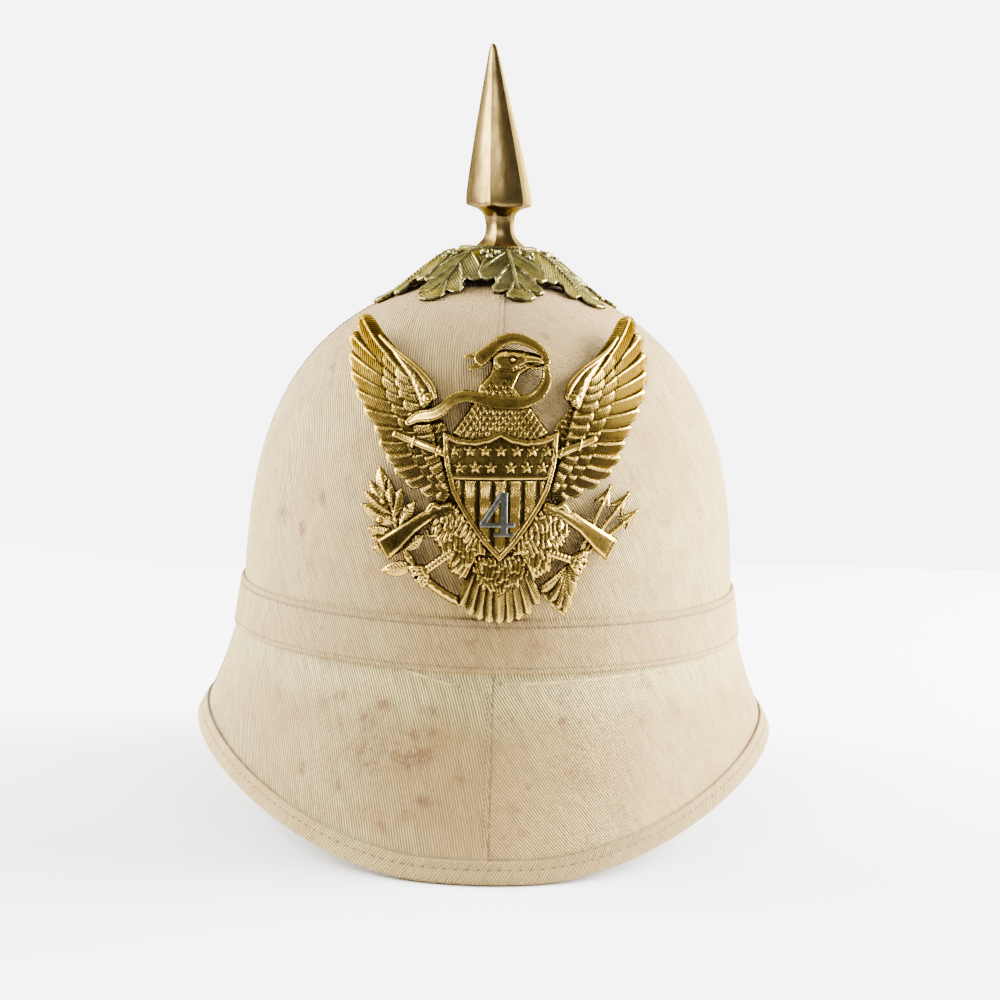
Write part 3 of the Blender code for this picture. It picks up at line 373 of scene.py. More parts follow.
def binding_start(angle):
    start = band_ring(angle, BAND_FOOT, BAND_FLARE)
    return 3 - BINDING_WIDTH / np.linalg.norm(brim_edge(angle) - start, axis=-1)


def half_width_at(s):
    """Half the shell's width at a value of s, in front."""
    side = np.full(np.shape(s), pi / 2)
    return shell_point(side, s)[..., 0]


def angle_of(x, s):
    """The angle at which the front of the shell is at a distance x from the middle."""
    return np.arcsin(np.clip(x / half_width_at(s), -1, 1))


def down_brim(share):
    """The value of s at a share of the brim's cloth, from the band down to the binding."""
    return 2 + share * (float(binding_start(np.array([0.0]))[0]) - 2)


# Cloth panels: four round the helmet, with seams in front, behind and at the sides

def panel_angles():
    """Angles of the columns, and each column's panel; seams hold the last column of one panel and the
    first of the next, a hair apart."""
    hair = 0.0012
    each = np.linspace(0, 1, PANEL_COLUMNS)
    crowded = each - 0.90 * np.sin(2 * pi * each) / (2 * pi)
    columns, owner = [], []
    for panel in range(PANELS):
        start, end = panel * 2 * pi / PANELS, (panel + 1) * 2 * pi / PANELS
        columns.append(start + hair + (end - start - 2 * hair) * crowded)
        owner.append(np.full(PANEL_COLUMNS, panel))
    return np.concatenate(columns), np.concatenate(owner)


def seam_turn(angle, s):
    """How far the columns are turned so that the front seam stays at one distance from the middle."""
    turn = np.clip(SEAM_SHIFT / np.maximum(half_width_at(s), 1e-4), 0, 0.12)
    return turn * (1 + np.cos(angle)) / 2


def panel_coordinates(points, owner):
    """Flat cloth coordinates of a grid: along each row the distance from the panel's middle line, and down
    the columns the length, less the sag of the panel's flat pattern, so that the weave keeps its scale."""
    across = np.zeros(points.shape[:2])
    for panel in range(PANELS):
        mine = np.flatnonzero(owner == panel)
        step = np.linalg.norm(np.diff(points[:, mine], axis=1), axis=-1)
        run = np.concatenate([np.zeros((len(points), 1)), np.cumsum(step, 1)], 1)
        across[:, mine] = run - run[:, len(mine) // 2][:, None]
    drop = np.linalg.norm(np.diff(points, axis=0), axis=-1)
    down = np.concatenate([np.zeros((1, points.shape[1])), np.cumsum(drop, 0)])
    tilt = np.gradient(across, axis=0) / np.maximum(np.gradient(down, axis=0), 1e-6)
    flat_down = down.copy()
    for panel in range(PANELS):
        mine = np.flatnonzero(owner == panel)
        middle = len(mine) // 2
        step = np.diff(across[:, mine], axis=1)
        mean = (tilt[:, mine][:, 1:] + tilt[:, mine][:, :-1]) / 2
        run = np.concatenate([np.zeros((len(points), 1)), np.cumsum(step * mean, 1)], 1)
        flat_down[:, mine] = down[:, mine] - (run - run[:, middle][:, None])
    return np.stack([across, flat_down], -1)


# Rust and drip marks: place in millimetres from the middle, share down the crown or brim, radii, strength
Mark = namedtuple("Mark", "x down wide tall strength")
BRIM_MARKS = table(Mark, (
    (-56, 0.17, 3.2, 2.6, 0.70), (-39, 0.18, 4.2, 3.0, 0.80), (-45, 0.25, 3.4, 3.0, 0.80),
    (-54, 0.29, 2.4, 2.2, 0.62), (-26, 0.29, 4.4, 2.4, 0.62), (-80, 0.28, 2.6, 2.0, 0.45),
    (-24, 0.38, 5.6, 3.4, 1.00), (-32, 0.40, 3.6, 2.6, 0.70), (-46, 0.40, 3.2, 2.8, 0.76),
    (-42, 0.46, 3.2, 2.8, 0.66), (-29, 0.44, 4.0, 2.6, 0.66), (-70, 0.62, 3.4, 2.4, 0.70),
    (-55, 0.63, 3.0, 2.4, 0.60), (-21, 0.60, 4.6, 2.6, 0.72), (-28, 0.68, 3.0, 2.0, 0.66),
    (-37, 0.76, 2.4, 2.0, 0.55), (-40, 0.95, 1.6, 1.6, 0.70), (-8, 0.48, 2.2, 1.8, 0.50),
    (-20, 0.18, 5.0, 2.2, 0.46), (-20, 0.27, 4.0, 2.6, 0.42), (-62, 0.22, 5.5, 4.0, 0.34),
    (31, 0.22, 1.3, 2.6, 1.00), (37, 0.23, 1.8, 1.4, 0.66), (35, 0.33, 2.2, 1.4, 0.50),
    (17, 0.33, 2.6, 1.2, 0.38), (64, 0.09, 2.2, 2.0, 0.60), (18, 0.50, 1.6, 1.8, 0.60),
    (13, 0.62, 2.4, 1.6, 0.60), (16, 0.74, 1.8, 1.4, 0.50), (43, 0.96, 2.2, 1.6, 0.60),
    (6, 0.96, 4.2, 1.6, 0.55), (78, 0.28, 2.0, 2.4, 0.36), (93, 0.45, 2.2, 1.2, 0.40),
    (60, 0.24, 12.0, 6.0, 0.24), (36, 0.46, 14.0, 7.0, 0.26), (-42, 0.38, 20.0, 13.0, 0.34),
))
CROWN_MARKS = table(Mark, (
    (-66.5, 0.865, 1.4, 2.4, 0.85), (-74.5, 0.915, 1.1, 2.2, 0.80), (-69.5, 0.965, 1.3, 2.6, 0.85),
    (-84, 0.90, 2.6, 4.6, 0.30), (62, 0.87, 1.2, 1.8, 0.70), (70, 0.885, 1.4, 2.4, 0.70),
    (74, 0.87, 1.2, 1.8, 0.55), (48, 0.52, 1.4, 2.0, 0.60), (52, 0.50, 1.2, 1.8, 0.55),
    (61, 0.60, 1.2, 2.2, 0.55), (57, 0.46, 1.2, 1.8, 0.50), (-66, 0.58, 1.5, 2.6, 0.50),
    (-62, 0.43, 1.6, 2.6, 0.45), (38, 0.30, 1.6, 1.4, 0.50), (44, 0.40, 1.3, 1.6, 0.45),
    (-30, 0.22, 2.4, 2.0, 0.30), (-55, 0.34, 2.0, 2.6, 0.35), (30, 0.20, 2.0, 1.4, 0.35),
    (20, 0.44, 1.8, 1.6, 0.60),
))
CROWN_MARKS_STRENGTH = 1.7
BAND_MARKS = table(Mark, (
    (-34, 0.35, 5.0, 2.4, 0.42), (-3, 0.45, 6.0, 3.2, 0.48), (-97, 0.40, 2.4, 3.0, 0.35),
    (19, 0.50, 5.0, 3.6, 0.52), (-52, 0.72, 2.2, 1.8, 0.40), (-64, 0.45, 1.4, 1.8, 0.55),
    (33, 0.35, 7.0, 2.6, 0.34), (-18, 0.60, 8.0, 3.0, 0.30), (8, 0.20, 8.0, 1.6, 0.32),
))


def mark_values(points, marks, place):
    """The strongest mark at each point: a bell curve of its distance from each mark's place."""
    total = np.zeros(points.shape[:-1])
    for mark in marks:
        middle = place(mark)
        wide, tall = mark.wide * 0.001, mark.tall * 0.001
        dx = (points[..., 0] - middle[0]) / wide
        dz = np.hypot(points[..., 1] - middle[1], points[..., 2] - middle[2]) / tall
        total = np.maximum(total, mark.strength * np.exp(-(dx * dx + dz * dz)))
    return total


def mark_place(low, high):
    """The point of the shell at a mark's place, for marks between two values of s."""
    def place(mark):
        s = np.array([low + (high - low) * mark.down])
        return shell_point(angle_of(np.array([mark.x * 0.001]), s), s)[0]
    return place


def uneven_cloth(points, height, **kind):
    """Slight waves of the cloth over what is under it."""
    return height * ripple(points[..., 0], points[..., 1], points[..., 2], **kind)


def in_front(points, width):
    """A bell curve across the front of the helmet, where hands have soiled it."""
    return np.exp(-(points[..., 0] / width) ** 2) * (points[..., 1] < CROWN_Y)


def crease_depth(points):
    """A pale crease that runs down the brim from near the seam to the left."""
    x, s = np.array(CREASE_ENDS).T
    start, end = shell_point(angle_of(x, s), s)
    along = end - start
    t = np.clip((points - start) @ along / (along @ along), 0, 1)
    gap = np.linalg.norm(points - start - t[..., None] * along, axis=-1)
    return np.exp(-(gap / CREASE_WIDTH) ** 2) * np.sin(pi * np.clip(t, 0.02, 0.98)) ** 0.3


def seam_folds(outside, owner):
    """How near each point is to the folded cloth on one side of a seam, and to the seam's own line."""
    fold, line = np.zeros(outside.shape[:2]), np.zeros(outside.shape[:2])
    for panel in range(PANELS):
        mine = np.flatnonzero(owner == panel)
        back = np.linalg.norm(outside[:, mine] - outside[:, mine[-1]][:, None], axis=-1)
        ahead = np.linalg.norm(outside[:, mine] - outside[:, mine[0]][:, None], axis=-1)
        fold[:, mine] = 1 - smooth_step(back, SEAM_FOLD, SEAM_FADE)
        line[:, mine] = np.exp(-(ahead / 0.0005) ** 2) + 0.4 * np.exp(-(back / 0.0003) ** 2)
    return fold, line


def cloth_values(points, s, seam_line, crease):
    """How marked and soiled the cloth is, where it is kept pale, and where shade is painted along the seams.
    The rows of the inside, after those of s, stay 0.
    """
    def with_inside(values):
        whole = np.zeros(points.shape[:2])
        whole[:len(s)] = values
        return whole
    outside = points[:len(s)]
    marks = np.maximum(mark_values(outside, BRIM_MARKS, mark_place(2, 3)),
                       CROWN_MARKS_STRENGTH * mark_values(outside, CROWN_MARKS, mark_place(0, 1)))
    # Kept pale: a strip just below the band, and the crease, are left undulled, so they are paler.
    below_band = np.where(s > 2, 1 - smooth_step(s, 2.06, 2.34), 0)
    # Painted shade: a dark line beside the fold of each seam, where the folded cloth shades the panel next to
    # it.
    bare_seam = np.where((s > 0.05) & ((s < 1) | (s > 2)), seam_line, 0)
    top = 1 - smooth_step(s, 0.2, 0.6)
    middle = in_front(outside, 0.062)
    soiled = np.where(s > 2, 0.38 + 0.85 * middle, 0.25 + 0.75 * middle + 0.80 * top)
    return {"marks": with_inside(marks), "kept_pale": with_inside(below_band + 0.8 * crease),
            "shade_lines": with_inside(1.3 * bare_seam), "soiled": with_inside(soiled)}


def build_helmet_cloth(material):
    """Crown and brim in one closed shell: rows down the outside, then up the inside."""
    base, owner = panel_angles()
    crown = np.linspace(0, 1, CROWN_ROWS)[:, None] ** 0.85 + 0 * base
    band = np.array([[1.25], [1.6], [2.0]]) + 0 * base
    brim = 2 + (binding_start(base) - 2) * np.linspace(0, 1, BRIM_ROWS)[1:, None]
    s = np.concatenate([crown, band, brim])
    angle = base + seam_turn(base, s)
    outside = shell_point(angle, s)
    fold, seam_line = seam_folds(outside, owner)
    waves = uneven_cloth(outside, 0.00022, seed=4, waves=16, scale=110)
    waves = waves * smooth_step(s, 0.2, 0.5) * (1 - smooth_step(s, 2.9, 3.0))
    bare = np.where((s > 0.02) & ((s < 0.99) | (s > 2.01)), 1.0, 0.0)
    crease = crease_depth(outside)
    lift = (SEAM_LAP * fold + np.minimum(waves, 0.00015) - CREASE_DEPTH * crease) * bare
    outside = outside + lift[..., None] * shell_normal(angle, s)
    inside_s = np.concatenate([s[:CROWN_ROWS:3], band[-1:], s[CROWN_ROWS + 3::5]])
    inside_angle = base + seam_turn(base, inside_s)
    inside = shell_offset(inside_angle, inside_s, np.full(inside_s.shape, -WALL))
    inside[0, :, :2] = outside[0, :, :2]
    edges = [brim_edge(base)[None], slid_to_level(base, -WALL, 0)[None]]
    points = np.concatenate([outside, *edges, inside[::-1]])
    rows = len(points)
    uv = panel_coordinates(np.concatenate([points, points[:1]]), owner)[:rows]
    faces = grid_faces(rows, len(base), closed=True)
    return add_piece("helmet_cloth", points, faces, material, "cream_twill", ["helmet_body"], uv,
                     cloth_values(points, s, seam_line, crease))


# Band and binding

BandRow = namedtuple("BandRow", "down out")
# Share of the band's height from the top, and distance out from the shell in millimetres
BAND_SECTION = table(BandRow, (
    (0.000, 0.30), (0.000, 1.00), (0.012, 1.38), (0.035, 1.50), (0.080, 1.52), (0.115, 1.48), (0.128, 1.16),
    (0.142, 1.42), (0.170, 1.46), (0.300, 1.48), (0.450, 1.48), (0.600, 1.48), (0.750, 1.48), (0.860, 1.48),
    (0.890, 1.42), (0.905, 1.22), (0.920, 1.42), (0.950, 1.50), (0.985, 1.44), (1.000, 1.15), (1.000, 0.30),
))
RING_COLUMNS = 480
BAND_JOIN = radians(-38)
BINDING_JOIN = radians(96)
# Lines of thread: shares down the band, and down the binding
BAND_HEAD_THREAD = 0.128
BAND_FOOT_THREAD = 0.905
BINDING_THREAD = 0.47


def outward(angle):
    return np.stack([np.sin(angle), -np.cos(angle), 0 * angle], -1)


def with_last_column(uv, length):
    """The flat pattern with its first column repeated at the far end, a whole length further on."""
    return np.concatenate([uv, uv[:, :1] + [length, 0]], 1)


def join_faces(rows):
    """The faces of a closed ring of rows, on the helmet and on a flat pattern with one more column."""
    return {"faces": grid_faces(rows, RING_COLUMNS, closed=True),
            "uv_faces": grid_faces(rows, RING_COLUMNS + 1, wrap=False, closed=True)}


def build_band(material):
    """The band: its section, as share down and distance out, carried round the foot of the crown."""
    angle = BAND_JOIN + np.arange(RING_COLUMNS)[None] * 2 * pi / RING_COLUMNS
    down = np.array([row.down for row in BAND_SECTION])[:, None] + 0 * angle
    out = np.array([row.out for row in BAND_SECTION])[:, None] * UNIT + 0 * angle
    angle = angle + 0 * down
    points = shell_point(angle, 1 + down)
    waves = uneven_cloth(points, 0.00012, seed=9, waves=12, scale=160)
    out = out + np.where(out > 0.001, np.minimum(waves, 0.00004), 0)
    points = points + out[..., None] * outward(angle)
    mean_radius = (CROWN_FRONT + CROWN_HALF_WIDTH) / 2
    uv = np.stack([(angle - BAND_JOIN) * mean_radius, down * (BAND_TOP - BAND_FOOT)], -1)
    marks = mark_values(points, BAND_MARKS, mark_place(1, 2))
    # Painted shade in the grooves of the two thread rows, and a lighter painted shade along the band's top
    # edge.
    thread = (np.exp(-((down - BAND_HEAD_THREAD) / 0.018) ** 2)
              + 0.7 * np.exp(-((down - BAND_FOOT_THREAD) / 0.015) ** 2))
    top = 1 - smooth_step(down, 0.10, 0.14)
    values = {"marks": marks, "kept_pale": 0 * marks, "shade_lines": thread + 0.25 * top,
              "soiled": 0.3 + 0.6 * in_front(points, 0.070)}
    return add_piece("twill_band", points, material=material, slot="band_twill", replaced=["hat_band"],
                     uv=with_last_column(uv, 2 * pi * mean_radius), values=values, **join_faces(len(points)))


BindingRow = namedtuple("BindingRow", "down out")
# Share of the way from the binding's upper edge to the brim's edge, and distance out in millimetres
BINDING_SECTION = table(BindingRow, (
    (0.00, 0.30), (0.00, 0.75), (0.03, 1.12), (0.08, 1.30), (0.20, 1.32), (0.38, 1.28), (0.47, 1.02),
    (0.56, 1.28), (0.68, 1.32), (0.80, 1.32), (0.90, 1.32),
))


def corner_curve(a, corner, b, steps):
    """Points of a curve from a to b that is drawn to a corner between them."""
    t = np.linspace(0, 1, steps + 1)[1:, None, None]
    return (1 - t) ** 2 * a + 2 * t * (1 - t) * corner + t ** 2 * b


def build_binding(material):
    """The binding: down the outside, round the brim's edge, up the inside, and back along the cloth."""
    angle = BINDING_JOIN + np.arange(RING_COLUMNS) * 2 * pi / RING_COLUMNS
    start = binding_start(angle)
    cover = GAP + BINDING_CLOTH
    outside = []
    for row in BINDING_SECTION:
        s = start + (3 - start) * row.down
        outside.append(shell_offset(angle, s, np.full(len(angle), row.out * UNIT)))
    high, low = slid_to_level(angle, cover, cover), slid_to_level(angle, -WALL - cover, cover)
    middle = (high + low) / 2
    top = shell_offset(angle, start, np.full(len(angle), -WALL - cover))
    inner = [low + (top - low) * rise for rise in (0.15, 0.55, 0.92)]
    inner.append(shell_offset(angle, start, np.full(len(angle), -WALL - GAP)))
    bends = [corner_curve(outside[-1], high, middle, 5), corner_curve(middle, low, inner[0], 5)]
    lining = [slid_to_level(angle, -WALL - GAP, GAP), slid_to_level(angle, GAP, GAP)]
    points = np.concatenate([outside, *bends, inner[1:], lining])
    step = np.linalg.norm(np.diff(points, axis=0), axis=-1).mean(1)
    down = np.concatenate([[0], np.cumsum(step)])[:, None] + 0 * angle
    edge_line = points[4]
    round_step = np.linalg.norm(np.diff(np.concatenate([edge_line, edge_line[:1]]), axis=0), axis=-1)
    run = np.concatenate([[0], np.cumsum(round_step)])
    uv = with_last_column(np.stack([run[None, :-1] + 0 * down, down], -1), run[-1])
    share = np.ones(down.shape)
    share[:len(outside)] = np.array([row.down for row in BINDING_SECTION])[:, None]
    # Painted shade: a dark line along the binding's folded upper edge at the sides, and a lighter one in the
    # groove of its thread row.
    upper = np.exp(-(share / 0.05) ** 2) * smooth_step(np.abs(np.sin(angle)), 0.35, 0.75)
    stitch = 0.28 * np.exp(-((share - BINDING_THREAD) / 0.06) ** 2)
    zero = np.zeros(down.shape)
    values = {"marks": zero, "kept_pale": zero, "shade_lines": upper + stitch,
              "soiled": 0.3 + 0.6 * in_front(points, 0.075)}
    return add_piece("twill_binding", points, material=material, slot="binding_twill",
                     replaced=["edge_binding"], uv=uv, values=values, **join_faces(len(points)))


# Thread: short rounded stitches laid along a row of points

def stitch_shape(sides=6):
    """A rounded stitch along X: rings of points at four places along it, in shares of its size."""
    along = np.array([-1.0, -0.72, 0.0, 0.72, 1.0])
    girth = np.array([0.12, 0.75, 1.0, 0.75, 0.12])
    turn = np.arange(sides) * 2 * pi / sides
    ring = np.stack([0 * turn, np.cos(turn), np.sin(turn)], -1)
    points = ring[None] * girth[:, None, None]
    points[..., 0] = along[:, None]
    return points.reshape(-1, 3), grid_faces(len(along), sides)


Stitch = namedtuple("Stitch", "pitch length width height")
BAND_FOOT_STITCH = Stitch(0.0030, 0.0009, 0.00042, 0.0005)
BAND_HEAD_STITCH = Stitch(0.0026, 0.0012, 0.00042, 0.0006)
BINDING_STITCH = Stitch(0.0041, 0.0017, 0.00042, 0.0006)
SEAM_STITCH = Stitch(0.0021, 0.0011, 0.00038, 0.00042)
TUCK_STITCH = Stitch(0.0, 0.0017, 0.0005, 0.0007)


def add_stitches(name, centres, along, normal, stitch, stretch, material, slot):
    """Many stitches as one piece, each with its own stretch in length."""
    shape, faces = stitch_shape()
    along = along / np.linalg.norm(along, axis=-1, keepdims=True)
    side = np.cross(normal, along)
    length = stitch.length * np.broadcast_to(stretch, len(centres))
    points = (centres[:, None] + along[:, None] * (shape[None, :, :1] * length[:, None, None] / 2)
              + side[:, None] * (shape[None, :, 1:2] * stitch.width / 2)
              + normal[:, None] * (shape[None, :, 2:] * stitch.height / 2))
    every = faces[None] + (np.arange(len(centres)) * len(shape))[:, None, None]
    return add_piece(name, points, every.reshape(-1, 4), material, slot)


def evenly_round(ring, pitch):
    """Shares of the way round a closed row of points, at an even pitch."""
    step = np.linalg.norm(np.diff(np.concatenate([ring, ring[:1]]), axis=0), axis=-1)
    run = np.concatenate([[0], np.cumsum(step)])
    count = int(run[-1] / pitch)
    return np.interp(np.arange(count) / count * run[-1], run, np.arange(len(run)) / len(ring))


def ring_stitches(name, ring_of, normal_of, stitch, material, slot, seed):
    """Stitches round the helmet on the row that ring_of(angle) gives."""
    chance = np.random.default_rng(seed)
    fine = np.arange(1440) * 2 * pi / 1440
    angle = evenly_round(ring_of(fine), stitch.pitch) * 2 * pi
    angle = angle + chance.normal(size=len(angle)) * 0.0012
    along = ring_of(angle + 0.002) - ring_of(angle - 0.002)
    stretch = chance.uniform(0.75, 1.15, len(angle))
    return add_stitches(name, ring_of(angle), along, normal_of(angle), stitch, stretch, material, slot)


def build_ring_threads(brown, dark):
    def band_row(down, out):
        def ring(angle):
            return shell_point(angle, np.full_like(angle, 1 + down)) + out * outward(angle)
        return ring

    def binding_row(angle):
        start = binding_start(angle)
        return shell_offset(angle, start + (3 - start) * BINDING_THREAD, np.full_like(angle, 0.00112))

    def binding_normal(angle):
        return shell_normal(angle, np.full_like(angle, 2.95))

    foot, head = band_row(BAND_FOOT_THREAD, 0.00128), band_row(BAND_HEAD_THREAD, 0.00126)
    ring_stitches("band_foot_thread", foot, outward, BAND_FOOT_STITCH, brown, "band_twill", 3)
    ring_stitches("band_head_thread", head, outward, BAND_HEAD_STITCH, brown, "band_twill", 5)
    ring_stitches("binding_thread", binding_row, binding_normal, BINDING_STITCH, dark, "binding_twill", 7)


SEAM_THREAD_BACK = 0.0018    # how far the stitches run from the seam's line
SEAM_THREAD_RUNS = ((0.12, 0.985), (2.03, 2.86))


def build_seam_threads(material):
    """Stitches beside each seam, on the folded side, down the crown and down the brim."""
    chance = np.random.default_rng(11)
    centres, along, normals = [], [], []
    for low, high in SEAM_THREAD_RUNS:
        rows = np.linspace(low, high, 400)
        for seam in range(PANELS):
            base = np.full(len(rows), seam * 2 * pi / PANELS)
            angle = base + seam_turn(base, rows)
            ahead = shell_point(angle + 0.01, rows) - shell_point(angle, rows)
            angle = angle - SEAM_THREAD_BACK / (np.linalg.norm(ahead, axis=-1) / 0.01)
            line = shell_point(angle, rows) + SEAM_LAP * shell_normal(angle, rows)
            run = np.concatenate([[0], np.cumsum(np.linalg.norm(np.diff(line, axis=0), axis=-1))])
            at = np.interp(np.arange(0.001, run[-1], SEAM_STITCH.pitch), run, np.arange(len(rows)))
            here = np.clip(at.astype(int), 1, len(rows) - 2)
            centres.append(line[here])
            along.append(line[here + 1] - line[here - 1])
            normals.append(shell_normal(angle, rows)[here])
    centres, along, normals = map(np.concatenate, (centres, along, normals))
    stretch = chance.uniform(0.7, 1.2, len(centres))
    return add_stitches("seam_thread", centres, along, normals, SEAM_STITCH, stretch, material, "cream_twill")


Pleat = namedtuple("Pleat", "x0 down0 x1 down1 stitched")
# Flattened tucks under the band: their ends, in millimetres from the middle and shares down the brim, and
# which ends have a stitch
PLEATS = (Pleat(-33, 0.005, -9.5, 0.075, (-1,)), Pleat(6.5, 0.055, 62, 0.035, (0, -1)))
# A tuck's section, in millimetres across it and up from the cloth
TUCK_SECTION = ((-0.62, -0.10), (-0.50, 0.26), (-0.32, 0.30), (-0.10, 0.10), (0.10, 0.10), (0.32, 0.30),
                (0.50, 0.26), (0.62, -0.10))
TUCK_STEPS = 60


def build_pleats(material, thread):
    """Each tuck is a strip of two thin ridges that lies on the brim."""
    section = np.array(TUCK_SECTION) * UNIT
    t = np.linspace(0, 1, TUCK_STEPS)
    narrow = np.interp(t, [0, 0.04, 0.96, 1], [0.2, 1, 1, 0.2])[:, None, None]
    points, faces, stitches = [], [], []
    for number, pleat in enumerate(PLEATS):
        s = np.array([down_brim(d) for d in pleat.down0 + (pleat.down1 - pleat.down0) * t])
        angle = angle_of((pleat.x0 + (pleat.x1 - pleat.x0) * t) * UNIT, s)
        line, normal = shell_point(angle, s), shell_normal(angle, s)
        along = np.gradient(line, axis=0)
        along /= np.linalg.norm(along, axis=1)[:, None]
        side = np.cross(normal, along)
        strip = (line[:, None] + side[:, None] * (section[None, :, :1] * narrow)
                 + normal[:, None] * section[None, :, 1:])
        points.append(strip.reshape(-1, 3))
        faces.append(grid_faces(TUCK_STEPS, len(section), wrap=False) + number * TUCK_STEPS * len(section))
        stitches += [(line[end], side[end], normal[end]) for end in pleat.stitched]
    add_piece("brim_tucks", np.concatenate(points), np.concatenate(faces), material, "cream_twill")
    centres, along, normals = map(np.array, zip(*stitches))
    add_stitches("tuck_thread", centres, along, normals, TUCK_STITCH, 1.0, thread, "cream_twill")


# Materials

class Paint:
    """A material's node tree, with short calls that add a node and join its inputs."""

    def __init__(self, name):
        self.material = bpy.data.materials.new(name)
        self.material.use_nodes = True
        self.tree = self.material.node_tree
        self.shader = self.tree.nodes["Principled BSDF"]

    def node(self, kind, inputs=(), **settings):
        node = self.tree.nodes.new(kind)
        for key, value in settings.items():
            setattr(node, key, value)
        for key, value in dict(inputs).items():
            self.feed(node, key, value)
        return node

    def feed(self, node, key, value):
        if isinstance(value, bpy.types.NodeSocket):
            self.tree.links.new(value, node.inputs[key])
        else:
            node.inputs[key].default_value = value

    def finished(self, colour, roughness, normal, more=()):
        """The material, once its shader has its colour, roughness, bumps and any other inputs."""
        inputs = {"Base Color": colour, "Roughness": roughness, "Normal": normal, **dict(more)}
        for key, value in inputs.items():
            self.feed(self.shader, key, value)
        return self.material

    def mix(self, factor, a, b, kind="MIX"):
        """Colour a turned towards b by a factor."""
        node = self.tree.nodes.new("ShaderNodeMix")
        node.data_type = "RGBA"
        node.blend_type = kind
        self.feed(node, "Factor", factor)
        for key, value in ((6, a), (7, b)):
            self.feed(node, key, value)
        return node.outputs[2]

    def math(self, kind, a, b=0.0, c=0.0, clamp=False):
        node = self.tree.nodes.new("ShaderNodeMath")
        node.operation = kind
        node.use_clamp = clamp
        for key, value in ((0, a), (1, b), (2, c)):
            self.feed(node, key, value)
        return node.outputs[0]

    def ramp(self, value, low, high, start=0.0, end=1.0):
        """A value carried evenly from one range to another, and held at the ends."""
        node = self.node("ShaderNodeMapRange", {"Value": value, "From Min": low, "From Max": high,
                                                "To Min": start, "To Max": end})
        return node.outputs["Result"]

    def value(self, label):
        return self.node("ShaderNodeAttribute", attribute_name=label).outputs["Fac"]

    def noise(self, coordinates, scale, detail=3.0, roughness=0.55):
        node = self.node("ShaderNodeTexNoise", {"Vector": coordinates, "Scale": scale, "Detail": detail,
                                                "Roughness": roughness})
        return node.outputs["Fac"]

    def place(self):
        return self.node("ShaderNodeTexCoord").outputs["Object"]

    def cloth(self):
        return self.node("ShaderNodeUVMap", uv_map="cloth").outputs["UV"]

    def turned(self, coordinates, turn=(0, 0, 0), scale=(1, 1, 1)):
        inputs = {"Vector": coordinates, "Rotation": turn, "Scale": scale}
        return self.node("ShaderNodeMapping", inputs).outputs[0]

    def bump(self, height, strength, distance, normal=None):
        node = self.node("ShaderNodeBump", {"Height": height, "Strength": strength, "Distance": distance})
        if normal is not None:
            self.feed(node, "Normal", normal)
        return node.outputs["Normal"]


def rgb(red, green, blue):
    return (red, green, blue, 1.0)


RUST = rgb(0.215, 0.110, 0.034)
SHADE = rgb(0.15, 0.085, 0.035)
WAVE_LENGTH = 0.314159       # of the wave texture at a scale of 1
BRASS_TINT = rgb(0.50, 0.44, 0.27)
ROSY_TINT = rgb(0.52, 0.46, 0.34)


def twill_ridges(paint, turn):
    """The twill's height: ridges at its pitch, broken along their length by the yarns."""
    lines = paint.turned(paint.cloth(), (0, 0, turn))
    shape = {"Vector": lines, "Scale": WAVE_LENGTH / TWILL_PITCH, "Distortion": 1.6, "Detail": 2.0,
             "Detail Scale": 0.35}
    wave = paint.node("ShaderNodeTexWave", shape, wave_type="BANDS", bands_direction="X", wave_profile="SIN")
    yarn = paint.noise(paint.turned(lines, scale=(1.0, 0.42, 1.0)), 1500.0, 2.0)
    slub = paint.noise(paint.turned(lines, scale=(1.0, 0.16, 1.0)), 420.0, 2.0)
    ridges = paint.math("MULTIPLY", wave.outputs["Fac"], paint.ramp(yarn, 0.30, 0.70, 0.60, 1.15))
    return paint.math("ADD", ridges, paint.ramp(slub, 0.30, 0.70, -0.20, 0.20))


def tired_cloth(paint, cloth, tired, broad, patchy):
    """The cloth dulled in broad and small patches and where it is soiled, but not where it is kept pale."""
    dull = paint.math("ADD", paint.ramp(broad, 0.38, 0.66, 0.0, 0.45),
                      paint.ramp(patchy, 0.46, 0.70, 0.0, 0.45))
    dull = paint.math("ADD", dull, paint.math("MULTIPLY", paint.value("soiled"), 0.60))
    dull_allowed = paint.math("SUBTRACT", 1.0, paint.value("kept_pale"), clamp=True)
    dull = paint.math("MINIMUM", paint.math("MULTIPLY", dull, dull_allowed), 1.0)
    dirt = paint.mix(1.0, cloth, tired, "MULTIPLY")
    return paint.mix(dull, cloth, paint.mix(0.5, tired, paint.mix(0.5, cloth, dirt)))


def stained_cloth(paint, cloth, place, patchy, speck):
    """The cloth with rust flecks, the stains of the tables, and painted shade lines along the seams, edges and
    thread grooves.
    """
    fleck = paint.math("MULTIPLY", paint.ramp(speck, 0.60, 0.70), paint.ramp(patchy, 0.48, 0.60))
    cloth = paint.mix(paint.math("MULTIPLY", fleck, 0.60), cloth, RUST)
    ragged = paint.ramp(paint.noise(place, 330.0, 4.0, 0.7), 0.34, 0.62, 0.10, 1.9)
    marks = paint.math("MULTIPLY", paint.value("marks"), ragged)
    cloth = paint.mix(paint.ramp(marks, 0.04, 0.75, 0.0, 0.90), cloth, RUST)
    # Painted shade: the shade colour laid along the shade lines, broken up by noise.
    shade_breakup = paint.ramp(paint.noise(place, 700.0, 3.0), 0.25, 0.55)
    shade_lines = paint.math("MULTIPLY", paint.value("shade_lines"), shade_breakup)
    return paint.mix(paint.math("MULTIPLY", shade_lines, 0.85, clamp=True), cloth, SHADE)


